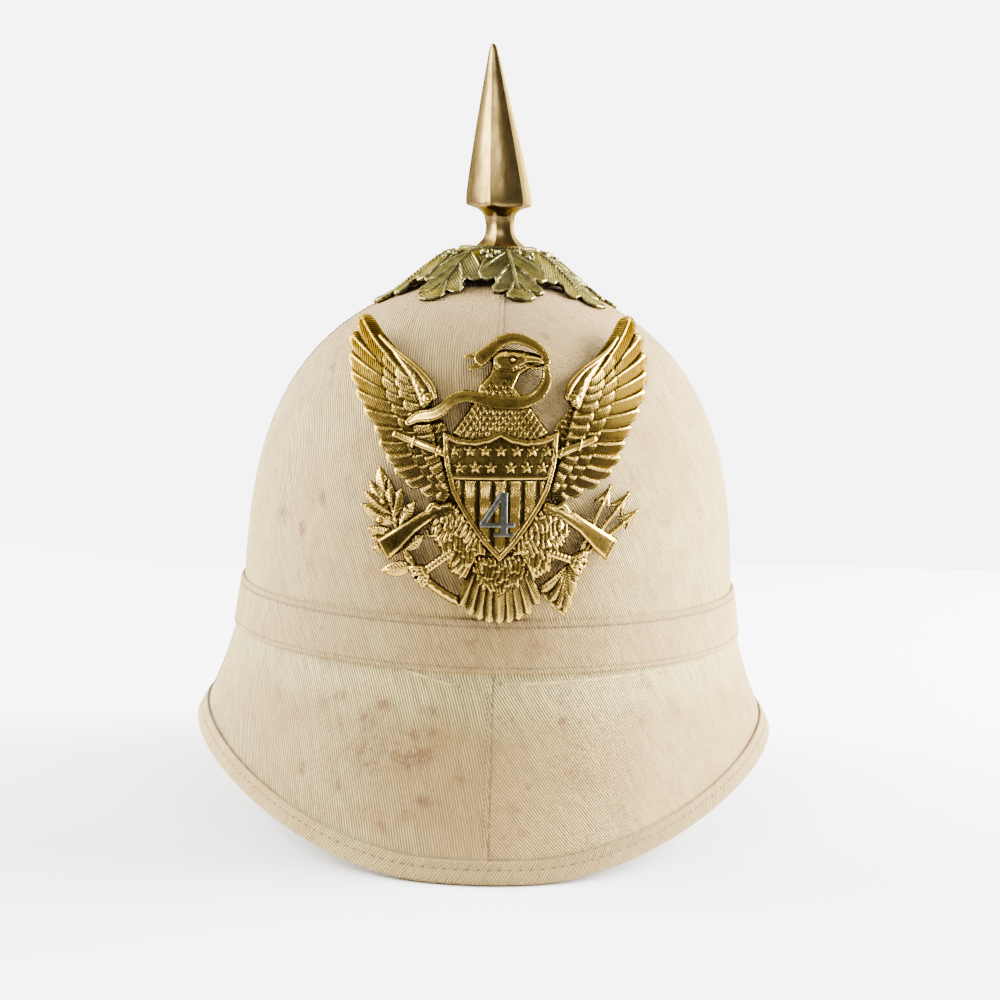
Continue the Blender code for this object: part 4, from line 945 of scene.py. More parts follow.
def twill_paint(name, ridge, groove_shade, tired, turn):
    """Twill: a ridge colour and a darker valley colour, whose difference paints the shade in the weave's
    grooves, with tiredness, stains and painted shade lines.
    """
    paint = Paint(name)
    place = paint.place()
    ridges = twill_ridges(paint, turn)
    broad = paint.noise(place, 14.0, 4.0)
    patchy = paint.noise(place, 70.0, 4.0, 0.65)
    speck = paint.noise(place, 420.0, 3.0, 0.6)
    # Painted shade: where the twill's ridges fall away, the cloth takes the dark valley colour, as the shade
    # in the grooves.
    cloth = paint.mix(paint.ramp(ridges, 0.24, 0.80), groove_shade, ridge)
    cloth = tired_cloth(paint, cloth, tired, broad, patchy)
    cloth = stained_cloth(paint, cloth, place, patchy, speck)
    bumps = paint.bump(ridges, 1.0, 0.00070, paint.bump(speck, 0.20, 0.0004))
    return paint.finished(cloth, 0.92, bumps,
                          {"Sheen Weight": 0.12, "Sheen Roughness": 0.5, "Specular IOR Level": 0.25})


def thread_paint(name, colour, dark):
    paint = Paint(name)
    place = paint.place()
    mixed = paint.mix(paint.ramp(paint.noise(place, 260.0), 0.35, 0.65), dark, colour)
    return paint.finished(mixed, 0.85, paint.bump(paint.noise(place, 2600.0), 0.5, 0.0002))


def brass_paint(name, high, low, deep, roughness, stroke_depth):
    """Old brass: bright where it stands proud, brown in its hollows, with fine tooled strokes."""
    paint = Paint(name)
    place = paint.place()
    strokes = paint.math("SINE", paint.math("MULTIPLY", paint.value("strokes"), 2 * pi))
    cut = paint.math("MULTIPLY", strokes, paint.value("tooled"))
    rub = paint.noise(place, 160.0, 4.0, 0.6)
    fine = paint.noise(place, 900.0, 3.0)
    grime = paint.math("ADD", paint.value("hollow"), paint.ramp(rub, 0.35, 0.70, -0.14, 0.18))
    grime = paint.math("SUBTRACT", grime, paint.math("MULTIPLY", cut, 0.22))
    colour = paint.mix(paint.ramp(grime, 0.05, 0.40), high, low)
    colour = paint.mix(paint.ramp(grime, 0.38, 0.75), colour, deep)
    rough = paint.math("ADD", paint.ramp(grime, 0.0, 0.9, roughness, roughness + 0.10),
                       paint.ramp(fine, 0.3, 0.7, -0.05, 0.06))
    bumps = paint.bump(cut, 0.45, stroke_depth, paint.bump(fine, 0.10, 0.0002))
    return paint.finished(colour, rough, bumps, {"Metallic": 1.0, "Specular Tint": BRASS_TINT})


def spike_paint():
    """Polished rosy brass with darker streaks and pits, and a dark waist."""
    paint = Paint("rosy_brass")
    place = paint.place()
    cloud = paint.noise(place, 60.0, 4.0, 0.6)
    pits = paint.noise(place, 1500.0, 2.0)
    streak = paint.noise(paint.turned(place, scale=(1, 1, 0.12)), 420.0, 3.0)
    colour = paint.mix(paint.ramp(cloud, 0.38, 0.62), rgb(0.190, 0.128, 0.042), rgb(0.100, 0.067, 0.023))
    colour = paint.mix(paint.ramp(streak, 0.50, 0.70, 0.0, 0.65), colour, rgb(0.048, 0.032, 0.012))
    colour = paint.mix(paint.ramp(pits, 0.70, 0.76, 0.0, 0.75), colour, rgb(0.035, 0.024, 0.012))
    colour = paint.mix(paint.math("MULTIPLY", paint.value("hollow"), 0.7), colour, rgb(0.06, 0.04, 0.016))
    bumps = paint.bump(pits, 0.12, 0.0002, paint.bump(streak, 0.14, 0.0003))
    return paint.finished(colour, paint.ramp(cloud, 0.3, 0.7, 0.26, 0.37), bumps,
                          {"Metallic": 1.0, "Specular Tint": ROSY_TINT})


def silver_paint():
    paint = Paint("grey_silver")
    cloud = paint.noise(paint.place(), 420.0, 4.0, 0.6)
    colour = paint.mix(paint.ramp(cloud, 0.35, 0.65), rgb(0.14, 0.14, 0.12), rgb(0.065, 0.063, 0.050))
    rough = paint.ramp(cloud, 0.3, 0.7, 0.34, 0.52)
    return paint.finished(colour, rough, paint.bump(cloud, 0.15, 0.0003), {"Metallic": 1.0})


# Stamped relief: heights on a flat grid in millimetres, cut to its joined outline and bent to its place

class Relief:
    """A flat grid with, at each point, the distance inside the joined outline, the height, and tooling."""

    def __init__(self, low, high, cell):
        self.cell = cell
        self.xs = np.arange(low[0], high[0], cell)
        self.zs = np.arange(low[1], high[1], cell)
        self.x, self.z = np.meshgrid(self.xs, self.zs)
        self.inside = np.full(self.x.shape, -9.0)
        self.height = np.zeros(self.x.shape)
        self.strokes = np.zeros(self.x.shape)
        self.tooled = np.zeros(self.x.shape)
        self.tarnish = np.zeros(self.x.shape)

    def window(self, low, high):
        """The part of the grid that holds a box."""
        i0, i1 = np.searchsorted(self.xs, (low[0], high[0]))
        j0, j1 = np.searchsorted(self.zs, (low[1], high[1]))
        return slice(max(j0 - 3, 0), j1 + 3), slice(max(i0 - 3, 0), i1 + 3)

    def around(self, outline):
        corners = np.array(outline, float)
        return self.window(corners.min(0), corners.max(0))

    def lay(self, part, depth, top, edge=0.35, floor=0.0, over=True, cut=True, groove=0.25):
        """Puts a form down: from its edge it rises to its top, and it covers what it is laid over. A fine
        groove follows its outline."""
        if cut:
            self.inside[part] = np.maximum(self.inside[part], depth)
        old = self.height[part]
        rise = floor + (top - floor) * round_edge(depth + self.cell / 2, edge + self.cell / 2)
        new = np.maximum(rise, np.minimum(old, top)) if over else np.maximum(rise, old)
        share = np.clip(depth / self.cell + 0.5, 0, 1)
        near = np.exp(-(depth / 0.32) ** 2) * (old > 0.3)
        self.height[part] = old + (new - old) * share - groove * near
        return depth > 0

    def tool(self, part, here, strokes=0.0, amount=0.0, tarnish=0.0):
        self.strokes[part] = np.where(here, strokes, self.strokes[part])
        self.tooled[part] = np.where(here, amount, self.tooled[part])
        self.tarnish[part] = np.where(here, tarnish, self.tarnish[part])


def line_distance(x, z, line):
    """The least distance to a line of points, and the share of the way along it and side at which it is."""
    line = np.array(line, float)
    run = np.concatenate([[0], np.cumsum(np.linalg.norm(np.diff(line, axis=0), axis=1))])
    least = np.full(x.shape, 1e9)
    share, side = np.zeros(x.shape), np.zeros(x.shape)
    for i, (a, b) in enumerate(zip(line[:-1], line[1:])):
        ab = b - a
        length = max(float(ab @ ab), 1e-9)
        t = np.clip(((x - a[0]) * ab[0] + (z - a[1]) * ab[1]) / length, 0, 1)
        gap = np.hypot(x - a[0] - t * ab[0], z - a[1] - t * ab[1])
        closer = gap < least
        least = np.where(closer, gap, least)
        share = np.where(closer, (run[i] + t * (run[i + 1] - run[i])) / run[-1], share)
        turn = (x - a[0]) * ab[1] - (z - a[1]) * ab[0]
        side = np.where(closer, np.sign(turn), side)
    return least, share, side


def is_inside(x, z, outline):
    """Whether each point is inside a closed outline, by counting the sides that a ray crosses."""
    crossed = np.zeros(x.shape, bool)
    for (x0, z0), (x1, z1) in zip(outline, list(outline[1:]) + [outline[0]]):
        spans = (z0 > z) != (z1 > z)
        run = (x1 - x0) / (z1 - z0) if z1 != z0 else 0
        crossed ^= spans & (x < x0 + (z - z0) * run)
    return crossed


def depth_in(x, z, outline):
    """The distance inside a closed outline, and minus the distance outside it."""
    gap, _, _ = line_distance(x, z, list(outline) + [outline[0]])
    return np.where(is_inside(x, z, outline), gap, -gap)


def round_edge(depth, width):
    """A rise from 0 to 1 over a width inside an edge, steep at first: 1 - (1 - t) squared."""
    t = np.clip(depth / width, 0, 1)
    return 1 - (1 - t) ** 2


def scales(x, z, pitch_x, pitch_z, turn=0.0, point=0.8):
    """Overlapping pointed scales: each falls away from its tip, and two staggered layers are joined."""
    u, v = x * cos(turn) + z * sin(turn), -x * sin(turn) + z * cos(turn)
    best = np.zeros(x.shape)
    for k in (0, 1):
        across = (u / pitch_x + k / 2) % 1 - 0.5
        up = v / (2 * pitch_z) + k / 2 - point * np.abs(2 * across) ** 1.4 / 2
        best = np.maximum(best, 1 - up % 1)
    return best


def locks(x, z, width, length, turn=0.0):
    """Ragged locks of fur or down: wavy strands side by side, each with its own tips, high at the tip."""
    u, v = x * cos(turn) + z * sin(turn), -x * sin(turn) + z * cos(turn)
    u = (u + 0.6 * np.sin(0.55 * v + 1.2 * np.sin(0.6 * u))) / width
    start = np.sin(np.floor(u) * 12.9898) * 4.3758
    fall = (v / length + start) % 1
    ridge = 1 - np.abs(2 * (u % 1) - 1)
    return ridge ** 0.7 * (1 - 0.75 * fall)


def smooth_line(line, steps=6):
    """The same line with smooth bends: each stretch is a cubic that leaves and arrives as its ends slope."""
    line = np.array(line, float)
    before = np.concatenate([line[:1] * 2 - line[1:2], line[:-1]])
    after = np.concatenate([line[1:], line[-1:] * 2 - line[-2:-1]])
    slope = (after - before) / 2
    t = np.linspace(0, 1, steps, endpoint=False)[None, :, None]
    a, b, u, v = line[:-1, None], line[1:, None], slope[:-1, None], slope[1:, None]
    curve = ((2 * t ** 3 - 3 * t ** 2 + 1) * a + (t ** 3 - 2 * t ** 2 + t) * u
             + (3 * t ** 2 - 2 * t ** 3) * b + (t ** 3 - t ** 2) * v)
    return np.concatenate([curve.reshape(-1, 2), line[-1:]])


def bent_line(root, tip, sag, steps=10):
    """A line from root to tip that bows to one side by a share of its length."""
    root, tip = np.array(root, float), np.array(tip, float)
    t = np.linspace(0, 1, steps)[:, None]
    along = tip - root
    side = np.array([-along[1], along[0]])
    return root + along * t + side * sag * 4 * t * (1 - t)


def lay_feather(relief, root, tip, sag, width, base, rise=0.75, tooled=1.0, barb=1.05, tarnish=0.0):
    """A feather: a rounded blade about a thin raised quill, lower on one side, with slanting barbs."""
    line = bent_line(root, tip, sag)
    part = relief.window(line.min(0) - width, line.max(0) + width)
    gap, share, side = line_distance(relief.x[part], relief.z[part], line)
    length = np.linalg.norm(np.diff(line, axis=0), axis=1).sum()
    end = np.clip((share - 0.78) / 0.22, 0, 1)
    half = width / 2 * np.interp(share, [0, 0.25, 1], [0.75, 1, 1]) * np.sqrt(np.maximum(1 - end ** 2.2, 0))
    depth = np.where((share < 1) & (share > 0), half - gap, -1)
    depth = np.where(share >= 1, -gap - 0.01, depth)
    across = np.clip(gap / np.maximum(half, 1e-3), 0, 1) * side
    vane = base + rise * (0.62 + 0.38 * (1 - across ** 2)) - 0.30 * rise * across
    quill = 0.40 * np.exp(-(gap / 0.30) ** 2) * np.clip((1 - share) * 8, 0, 1)
    here = relief.lay(part, depth, vane + quill, edge=0.45, floor=base - 0.2)
    relief.tool(part, here, (share * length + gap * 0.85) / barb, tooled * (gap > 0.3), tarnish * (gap > 0.5))


def lay_rod(relief, line, radii, base, rise=1.0, over=False, ribs=0.0, rib_pitch=1.1):
    """A rounded rod along a line: its section is part of a circle, with ribs across it if asked."""
    line = smooth_line(line) if len(line) > 2 else np.array(line, float)
    part = relief.window(line.min(0) - max(radii) - 1, line.max(0) + max(radii) + 1)
    gap, share, _ = line_distance(relief.x[part], relief.z[part], line)
    radius = np.interp(share, np.linspace(0, 1, len(radii)), radii)
    depth = radius - gap
    section = np.sqrt(np.maximum(1 - (gap / np.maximum(radius, 1e-3)) ** 2, 0))
    length = np.linalg.norm(np.diff(line, axis=0), axis=1).sum()
    rings = ribs * (0.5 + 0.5 * np.cos(2 * pi * share * length / rib_pitch))
    top = base + rise * radius * section + rings * section
    here = relief.lay(part, depth, top, edge=0.2, over=over, groove=0.12)
    relief.tool(part, here)


def lay_strip(relief, line, widths, base, rim, rim_width=0.6):
    """A flat ribbon along a line, with a thin raised rim."""
    line = smooth_line(line)
    part = relief.window(line.min(0) - max(widths), line.max(0) + max(widths))
    gap, share, _ = line_distance(relief.x[part], relief.z[part], line)
    half = np.interp(share, np.linspace(0, 1, len(widths)), widths) / 2
    depth = np.where((share > 0) & (share < 1), half - gap, np.minimum(half - gap, 0.3))
    edge = np.exp(-((depth - rim_width / 2) / (rim_width / 2)) ** 2)
    here = relief.lay(part, depth, base + rim * edge, edge=0.25, groove=0.35)
    relief.tool(part, here)


def lay_form(relief, outline, height, edge=0.8, crown=0.0, pattern=None, floor=0.0, ragged=0.0, tarnish=0.0):
    """A form with an outline of its own: a height with a rounded edge, fuller in the middle, and a pattern. A
    ragged edge follows the pattern in and out."""
    part = relief.around(outline)
    x, z = relief.x[part], relief.z[part]
    depth = depth_in(x, z, outline)
    marks = pattern(x, z) if pattern is not None else 0 * x
    top = height + crown * (1 - np.exp(-np.maximum(depth, 0) / 2.5)) + marks
    here = relief.lay(part, depth + ragged * (marks - 0.6), top, edge, floor)
    relief.tool(part, here, tarnish=tarnish)


def lay_leaf(relief, root, tip, width, base, rise=1.0):
    """A leaf with a point at each end, high along its midrib line and dished between rib and edge."""
    line = bent_line(root, tip, 0.04)
    part = relief.window(line.min(0) - width, line.max(0) + width)
    gap, share, _ = line_distance(relief.x[part], relief.z[part], line)
    half = width / 2 * np.sin(pi * np.clip(share, 0, 1) ** 0.85) ** 0.75
    depth = np.where((share > 0) & (share < 1), half - gap, -gap - 0.01)
    across = np.clip(gap / np.maximum(half, 1e-3), 0, 1)
    height = base + rise * (1 - 0.75 * across) + 0.35 * np.exp(-(gap / 0.25) ** 2) + 0.3 * across ** 6
    here = relief.lay(part, depth, height, edge=0.3)
    length = np.linalg.norm(line[-1] - line[0])
    relief.tool(part, here & (gap > 0.25), (share * length - gap * 0.7) / 1.3, 0.7)


def lay_dome(relief, place, radius, base, rise, over=False):
    part = relief.window((place[0] - radius, place[1] - radius), (place[0] + radius, place[1] + radius))
    gap = np.hypot(relief.x[part] - place[0], relief.z[part] - place[1])
    section = np.sqrt(np.maximum(1 - (gap / radius) ** 2, 0))
    relief.lay(part, radius - gap, base + rise * section, edge=0.2, over=over, cut=False)


def softened(heights, radius, cell):
    """The mean of the heights in a square round each point, by running sums."""
    k = max(int(round(radius / cell)), 1)
    for axis in (0, 1):
        padded = np.pad(heights, [(k + 1, k) if a == axis else (0, 0) for a in (0, 1)], mode="edge")
        total = np.cumsum(padded, axis)
        top = np.take(total, np.arange(2 * k + 1, total.shape[axis]), axis)
        bottom = np.take(total, np.arange(0, total.shape[axis] - 2 * k - 1), axis)
        heights = (top - bottom) / (2 * k + 1)
    return heights


def kept_cells(inside):
    """The cells inside the outline, by their corners' numbers, and the sides that only one of them has."""
    middle = (inside[:-1, :-1] + inside[1:, :-1] + inside[:-1, 1:] + inside[1:, 1:]) / 4
    number = np.arange(inside.size).reshape(inside.shape)
    cells = np.stack([number[:-1, :-1], number[:-1, 1:], number[1:, 1:], number[1:, :-1]], -1)[middle > 0]
    sides = np.concatenate([cells[:, [k, (k + 1) % 4]] for k in range(4)])
    keys = np.sort(sides, 1) @ np.array([inside.size, 1])
    _, first, count = np.unique(keys, return_index=True, return_counts=True)
    return cells, sides[first[count == 1]]


def renumbered(used, size):
    """For each of size points, its place among the used ones."""
    number = np.full(size, -1)
    number[used] = np.arange(len(used))
    return number


def plain_back(relief):
    """Coarser cells well inside the outline, and their points on the drawing."""
    coarse = (slice(None, None, BACK_STEP), slice(None, None, BACK_STEP))
    inside = relief.inside[coarse]
    corners = np.minimum.reduce([inside[:-1, :-1], inside[1:, :-1], inside[:-1, 1:], inside[1:, 1:]])
    cells = grid_faces(*inside.shape, wrap=False)[corners.ravel() > BACK_MARGIN]
    used = np.unique(cells)
    flat = np.stack([relief.x[coarse].ravel(), relief.z[coarse].ravel()], -1)
    return flat[used], renumbered(used, inside.size)[cells]


def relief_values(relief, used, extra, bias):
    """How deep among its surroundings each point is, and its tooling. The extra, hidden points have none."""
    raised = np.where(relief.inside > 0, relief.height, 0)
    around = softened(softened(raised, HOLLOW_REACH, relief.cell), HOLLOW_REACH * 0.6, relief.cell)
    hollow = np.clip((around - relief.height) * 1.1 + bias + relief.tarnish, 0, 1.2)
    values = (("hollow", hollow, 0.5), ("strokes", relief.strokes, 0), ("tooled", relief.tooled, 0))
    return {label: np.concatenate([value.ravel()[used], np.full(extra, rest)])
            for label, value, rest in values}


# Relief, in millimetres: the back's cells and their distance inside the outline, how far the lip reaches, the
# least height, the share of the height at the border, and how far a hollow looks for higher ground
BACK_STEP = 4
BACK_MARGIN = 0.15
BACK_LIFT = 0.02
LIP_REACH = 1.2
LIP_LIFT = 0.05
LEAST_HEIGHT = 0.05
BORDER_SHARE = 0.55
HOLLOW_REACH = 1.3


def relief_piece(name, relief, place, sheet, material, slot, replaced, bias=0.32):
    """The drawing's cells inside the outline, its border moved onto it, with walls, a lip and a back."""
    inside, cell = relief.inside, relief.cell
    cells, border = kept_cells(inside)
    used, rim = np.unique(cells), np.unique(border)
    slope_z, slope_x = np.gradient(inside, cell)
    inwards = np.stack([slope_x, slope_z], -1) / np.maximum(np.hypot(slope_x, slope_z), 0.3)[..., None]
    inwards = inwards.reshape(-1, 2)[rim]
    flat = np.stack([relief.x.ravel(), relief.z.ravel()], -1)
    flat[rim] += inwards * np.clip(-inside.ravel()[rim], -0.8 * cell, 0.8 * cell)[:, None]
    height = np.maximum(relief.height, LEAST_HEIGHT)
    around = np.pad(height, 1, mode="edge")
    beside = [around[j:j + height.shape[0], i:i + height.shape[1]] for j in range(3) for i in range(3)]
    height = height.ravel()
    height[rim] = BORDER_SHARE * np.maximum.reduce(beside).ravel()[rim]
    back_flat, back_cells = plain_back(relief)
    front = place(flat[used], (sheet + height[used]) * UNIT)
    foot = place(flat[rim], np.zeros(len(rim)))
    lip = place(flat[rim] + inwards * LIP_REACH, np.full(len(rim), LIP_LIFT * UNIT))
    back = place(back_flat, np.full(len(back_flat), BACK_LIFT * UNIT))
    top, at_rim = renumbered(used, inside.size), renumbered(rim, inside.size)
    at_foot, at_lip = len(used) + at_rim, len(used) + len(rim) + at_rim
    a, b = border.T
    walls = np.stack([top[b], top[a], at_foot[a], at_foot[b]], -1)
    lips = np.stack([at_foot[b], at_foot[a], at_lip[a], at_lip[b]], -1)
    faces = np.concatenate([top[cells], walls, lips, len(used) + 2 * len(rim) + back_cells])
    points = np.concatenate([front, foot, lip, back])
    values = relief_values(relief, used, len(points) - len(used), bias)
    return add_piece(name, points, faces, material, slot, replaced, None, values)


# Eagle plate: positions in millimetres from the shield's axis and the plate's foot

Feather = namedtuple("Feather", "left right tip_z root_x root_z")
WING_FEATHERS = table(Feather, (
    (57.5, 52.5, 114.5, 36.0, 92.0), (61.0, 56.5, 107.0, 34.0, 90.0), (61.2, 58.3, 99.5, 32.5, 87.0),
    (60.0, 58.5, 92.5, 31.0, 84.0), (57.5, 57.5, 85.5, 29.5, 80.5), (54.0, 55.0, 78.5, 28.0, 77.0),
    (49.5, 51.5, 72.0, 27.0, 73.5), (47.5, 49.0, 66.0, 26.0, 70.0), (44.5, 46.8, 60.5, 25.0, 66.5),
    (41.0, 43.5, 55.5, 24.0, 63.0), (36.5, 38.5, 51.5, 23.0, 59.5), (30.5, 32.0, 48.3, 22.0, 56.0),
    (24.5, 26.0, 46.0, 21.0, 52.0),
))
WingPoint = namedtuple("WingPoint", "left right z")
WING_INNER_EDGE = table(WingPoint, (
    (20.0, 20.0, 45.0), (18.0, 18.0, 60.0), (21.0, 21.0, 73.0), (27.0, 27.0, 79.5), (26.2, 26.0, 84.0),
    (28.0, 27.5, 88.5), (33.2, 32.5, 94.2), (38.8, 38.8, 98.4), (43.8, 43.0, 102.0), (49.0, 46.5, 106.5),
    (54.0, 50.0, 111.5),
))
SHOULDER = table(WingPoint, (
    (46.0, 44.5, 103.5), (38.8, 38.6, 98.2), (33.0, 32.3, 93.8), (28.3, 27.8, 88.3), (26.4, 26.2, 84.0),
    (27.6, 27.2, 80.6), (31.0, 30.6, 79.0), (33.0, 32.6, 84.0), (36.0, 35.4, 90.5), (40.5, 39.6, 96.5),
))
SHIELD_HALF = ((0, 71.9), (5, 69.4), (10.5, 68.3), (16.5, 69.0), (22.5, 71.2), (22.1, 64), (21.4, 58),
               (18.9, 49.2), (15.9, 43.2), (12.2, 37.5), (6.4, 29.4), (0, 22.6))
SHIELD_RIM_HEIGHT = 3.4
SHIELD_FIELD_HEIGHT = 2.5
CHIEF_Z = 53.2
STRIPE_COUNT = 6
STRIPE_PITCH = 5.75
STRIPE_WIDTH = 4.3
STRIPE_HEIGHT = 3.0
STAR_ROWS = ((64.2, (-17.6, -11.7, -5.8, 0.2, 6.4, 12.4, 18.2)), (58.0, (-15.6, -9.6, -3.7, 4.0, 10.2, 16.3)))
STAR_RADIUS = 2.6
CHEEK = ((-3.4, 100.0), (-3.6, 96.4), (-1, 93.8), (4.5, 93.6), (9, 95.4), (11.6, 97.2), (11.2, 99.8),
         (7.2, 101.4), (1, 101.8))
UPPER_BEAK = ((10.2, 98.6), (14.2, 98.2), (17.2, 96.9), (18.0, 95.4))
LOWER_BEAK = ((9.6, 96.2), (12.4, 95.4), (14.6, 95.0))
BROW = ((1.6, 100.0), (4.4, 100.5), (8.4, 99.6))
HEAD_AND_NECK = ((17.8, 95.6), (17.6, 97.6), (13.6, 100.4), (7.6, 101.8), (0.7, 102.2), (-4.4, 100.2),
                 (-3.8, 96.0), (-4.6, 93.0), (-8.3, 88.8), (-12.5, 79.6), (-19.1, 70.6), (-12, 66), (12, 66),
                 (18.7, 70.8), (11.9, 79.8), (5.3, 87.9), (7.4, 92.4), (12.7, 95.6))
EYE = (4.4, 98.4)
RIBBON_ARCH = ((18.0, 97.5), (15.8, 101.3), (11.2, 104.5), (5.2, 106.3), (-0.4, 105.0), (-4.4, 101.8),
               (-8.0, 98.8))
RIBBON_ARCH_WIDTHS = (2.8, 3.4, 4.0, 4.2, 4.4, 5.0, 5.6)
RIBBON_TAILS = (((-5.0, 101.0), (-9.5, 99.6), (-15.1, 99.2)), ((-6.0, 98.8), (-9.6, 96.0), (-12.8, 94.2)))
RIBBON_TRAIL = ((17.6, 95.2), (17.4, 89.5), (14.2, 84.9), (9.2, 82.6), (3.0, 82.0), (-3.2, 82.5),
                (-9.4, 83.9), (-14.4, 84.6), (-18.8, 82.9), (-22.6, 79.4), (-27.0, 77.2), (-32.0, 76.4),
                (-36.0, 74.0))
RIBBON_TRAIL_WIDTHS = (2.8, 4.2, 4.6, 4.6, 4.6, 4.6, 4.4, 4.2, 4.4, 4.6, 4.8, 4.4, 2.6)
STOCK = ((-47.4, 29.7), (-42.8, 21.6), (-38.0, 26.0), (-32.0, 32.8), (-24.5, 38.6), (-18.0, 41.0),
         (-18.0, 45.3), (-24.0, 44.2), (-30.5, 40.8), (-40.0, 34.6))
BUTT = ((-46.4, 29.0), (-43.0, 23.2))
TRIGGER_GUARD = ((-28.0, 34.0), (-27.0, 32.0), (-23.6, 32.8), (-22.0, 37.0))
LOCK = ((-27.5, 41.8), (-25.6, 43.8), (-23.2, 43.0))
RIGHT_STOCK_SHIFT = -1.5
LEFT_BARREL = ((-41.3, 69.3), (-31.5, 66.3), (-20.0, 62.6))
RIGHT_BARREL = ((36.8, 68.0), (30.0, 65.6), (20.0, 62.2))
Blade = namedtuple("Blade", "root_x root_z tip_x tip_z width")
LAUREL_LEAVES = table(Blade, (
    (-42.5, 43.0, -47.0, 57.5, 6.0), (-41.5, 40.0, -51.0, 51.5, 5.5), (-40.5, 36.0, -54.3, 42.5, 6.0),
    (-39.0, 31.0, -51.5, 33.5, 5.5), (-37.0, 27.0, -50.0, 26.0, 5.0), (-33.5, 20.5, -45.8, 17.5, 6.0),
    (-41.0, 38.0, -38.0, 49.5, 5.5), (-39.0, 34.0, -32.3, 44.8, 5.0), (-36.5, 26.0, -29.0, 32.0, 5.5),
    (-42.0, 39.5, -52.8, 47.2, 4.6), (-38.0, 29.5, -49.8, 29.8, 4.6), (-41.5, 41.0, -43.0, 53.0, 4.2),
))
LAUREL_STEM = ((-43.5, 46.0), (-41.0, 39.0), (-38.0, 30.0), (-33.0, 20.0), (-25.5, 13.2), (-17.0, 8.0),
               (-8.0, 6.0))
LAUREL_STEM_RADII = (0.6, 1.2, 1.4, 1.7, 1.9, 1.8, 1.7)
BERRIES = ((-45.5, 44.0), (-36.4, 41.5), (-46.8, 36.8))
ARROW_ROOT = (29.5, 22.0)
ARROW_TIPS = ((43.5, 51.0), (51.0, 47.5), (54.8, 40.5))
ARROW_HEAD_LENGTH = 9.5
ARROW_HEAD_WIDTH = 6.8
FLIGHT_ROOT = (27.4, 20.6)
FLIGHT_TIPS = ((16.0, 11.2), (19.4, 7.2), (22.6, 4.2), (25.4, 2.4), (28.0, 8.8), (30.0, 14.6))
FLETCHING = ((31.5, 19.5), (30.0, 13.5), (27.8, 7.0), (25.2, 0.8), (21.5, 3.6), (17.6, 8.0), (14.4, 12.2),
             (20.0, 16.6), (26.5, 21.5))
UPPER_TAIL = ((-15, 46), (15, 46), (12, 30), (9, 17), (-9, 17), (-12, 30))
OVER_TAIL = ((-11, 19), (-7.5, 13.5), (0, 10.5), (7.5, 13.5), (11, 19), (9, 25), (-9, 25))
THIGH = ((-26.2, 42.5), (-26.8, 36.5), (-25.4, 30.5), (-21.6, 25.0), (-19.0, 18.4), (-13.5, 15.4),
         (-9.0, 17.4), (-4.0, 24.0), (-6.0, 32.0), (-12.0, 40.0), (-18.0, 45.0))
Foot = namedtuple("Foot", "hock_x hock_z claw_x claw_z")
LEFT_FOOT = Foot(-18.5, 26.0, -30.0, 17.5)
RIGHT_FOOT = Foot(19.0, 26.0, 30.0, 22.0)
TAIL_TIPS = ((-14.9, 6.0), (-11.4, 2.2), (-7.7, 0.1), (-3.9, -1.0), (0.0, -1.3), (3.9, -1.0), (7.7, 0.1),
             (11.4, 2.2), (14.9, 6.0))
NUMERAL = ((-7.6, 35.8), (-7.6, 37.4), (0.2, 48.9), (3.0, 48.9), (3.0, 37.6), (5.8, 37.6), (5.8, 35.8),
           (3.0, 35.8), (3.0, 33.8), (5.6, 33.8), (5.6, 32.3), (-2.4, 32.3), (-2.4, 33.8), (0.2, 33.8),
           (0.2, 35.8))
NUMERAL_COUNTER = ((-4.9, 37.6), (0.2, 37.6), (0.2, 45.4))
PLATE_CELL = 0.34


def crown_front(x, z):
    share = crown_share(z)
    out = 1 - (x / np.maximum(CROWN_HALF_WIDTH * share, 1e-6)) ** 2
    return np.where(out > 0, CROWN_FRONT * share * np.sqrt(np.maximum(out, 0)), -1)


def plate_front(x, z):
    """How far forward the plate's back is at a point of the front view."""
    rest = CROWN_FRONT + GAP + BAND_CLOTH + PLATE_REST
    up = np.maximum(z - BAND_TOP - PLATE_STRAIGHT, 0)
    across = PLATE_BEND_ACROSS - np.sqrt(np.maximum(PLATE_BEND_ACROSS ** 2 - x ** 2, 0))
    lean = PLATE_BEND_UP - np.sqrt(np.maximum(PLATE_BEND_UP ** 2 - up ** 2, 0))
    return np.maximum(rest - across - lean, crown_front(x, z) + PLATE_CLEARANCE)


def on_plate(points, height):
    """A point of the drawing on the bent plate, raised straight forwards to a height above the sheet, so that
    relief stays over its place in the drawing."""
    x0, z0 = points[:, 0] * UNIT, points[:, 1] * UNIT
    x = PLATE_SHIFT + x0 * cos(PLATE_TURN) - z0 * sin(PLATE_TURN)
    z = BAND_TOP + PLATE_ABOVE_BAND + x0 * sin(PLATE_TURN) + z0 * cos(PLATE_TURN)
    step = 0.0005
    slope_x = (plate_front(x + step, z) - plate_front(x - step, z)) / (2 * step)
    slope_z = (plate_front(x, z + step) - plate_front(x, z - step)) / (2 * step)
    forward = height * np.minimum(np.sqrt(1 + slope_x ** 2 + slope_z ** 2), 1.6)
    return np.stack([x, CROWN_Y - plate_front(x, z) - forward, z], -1)


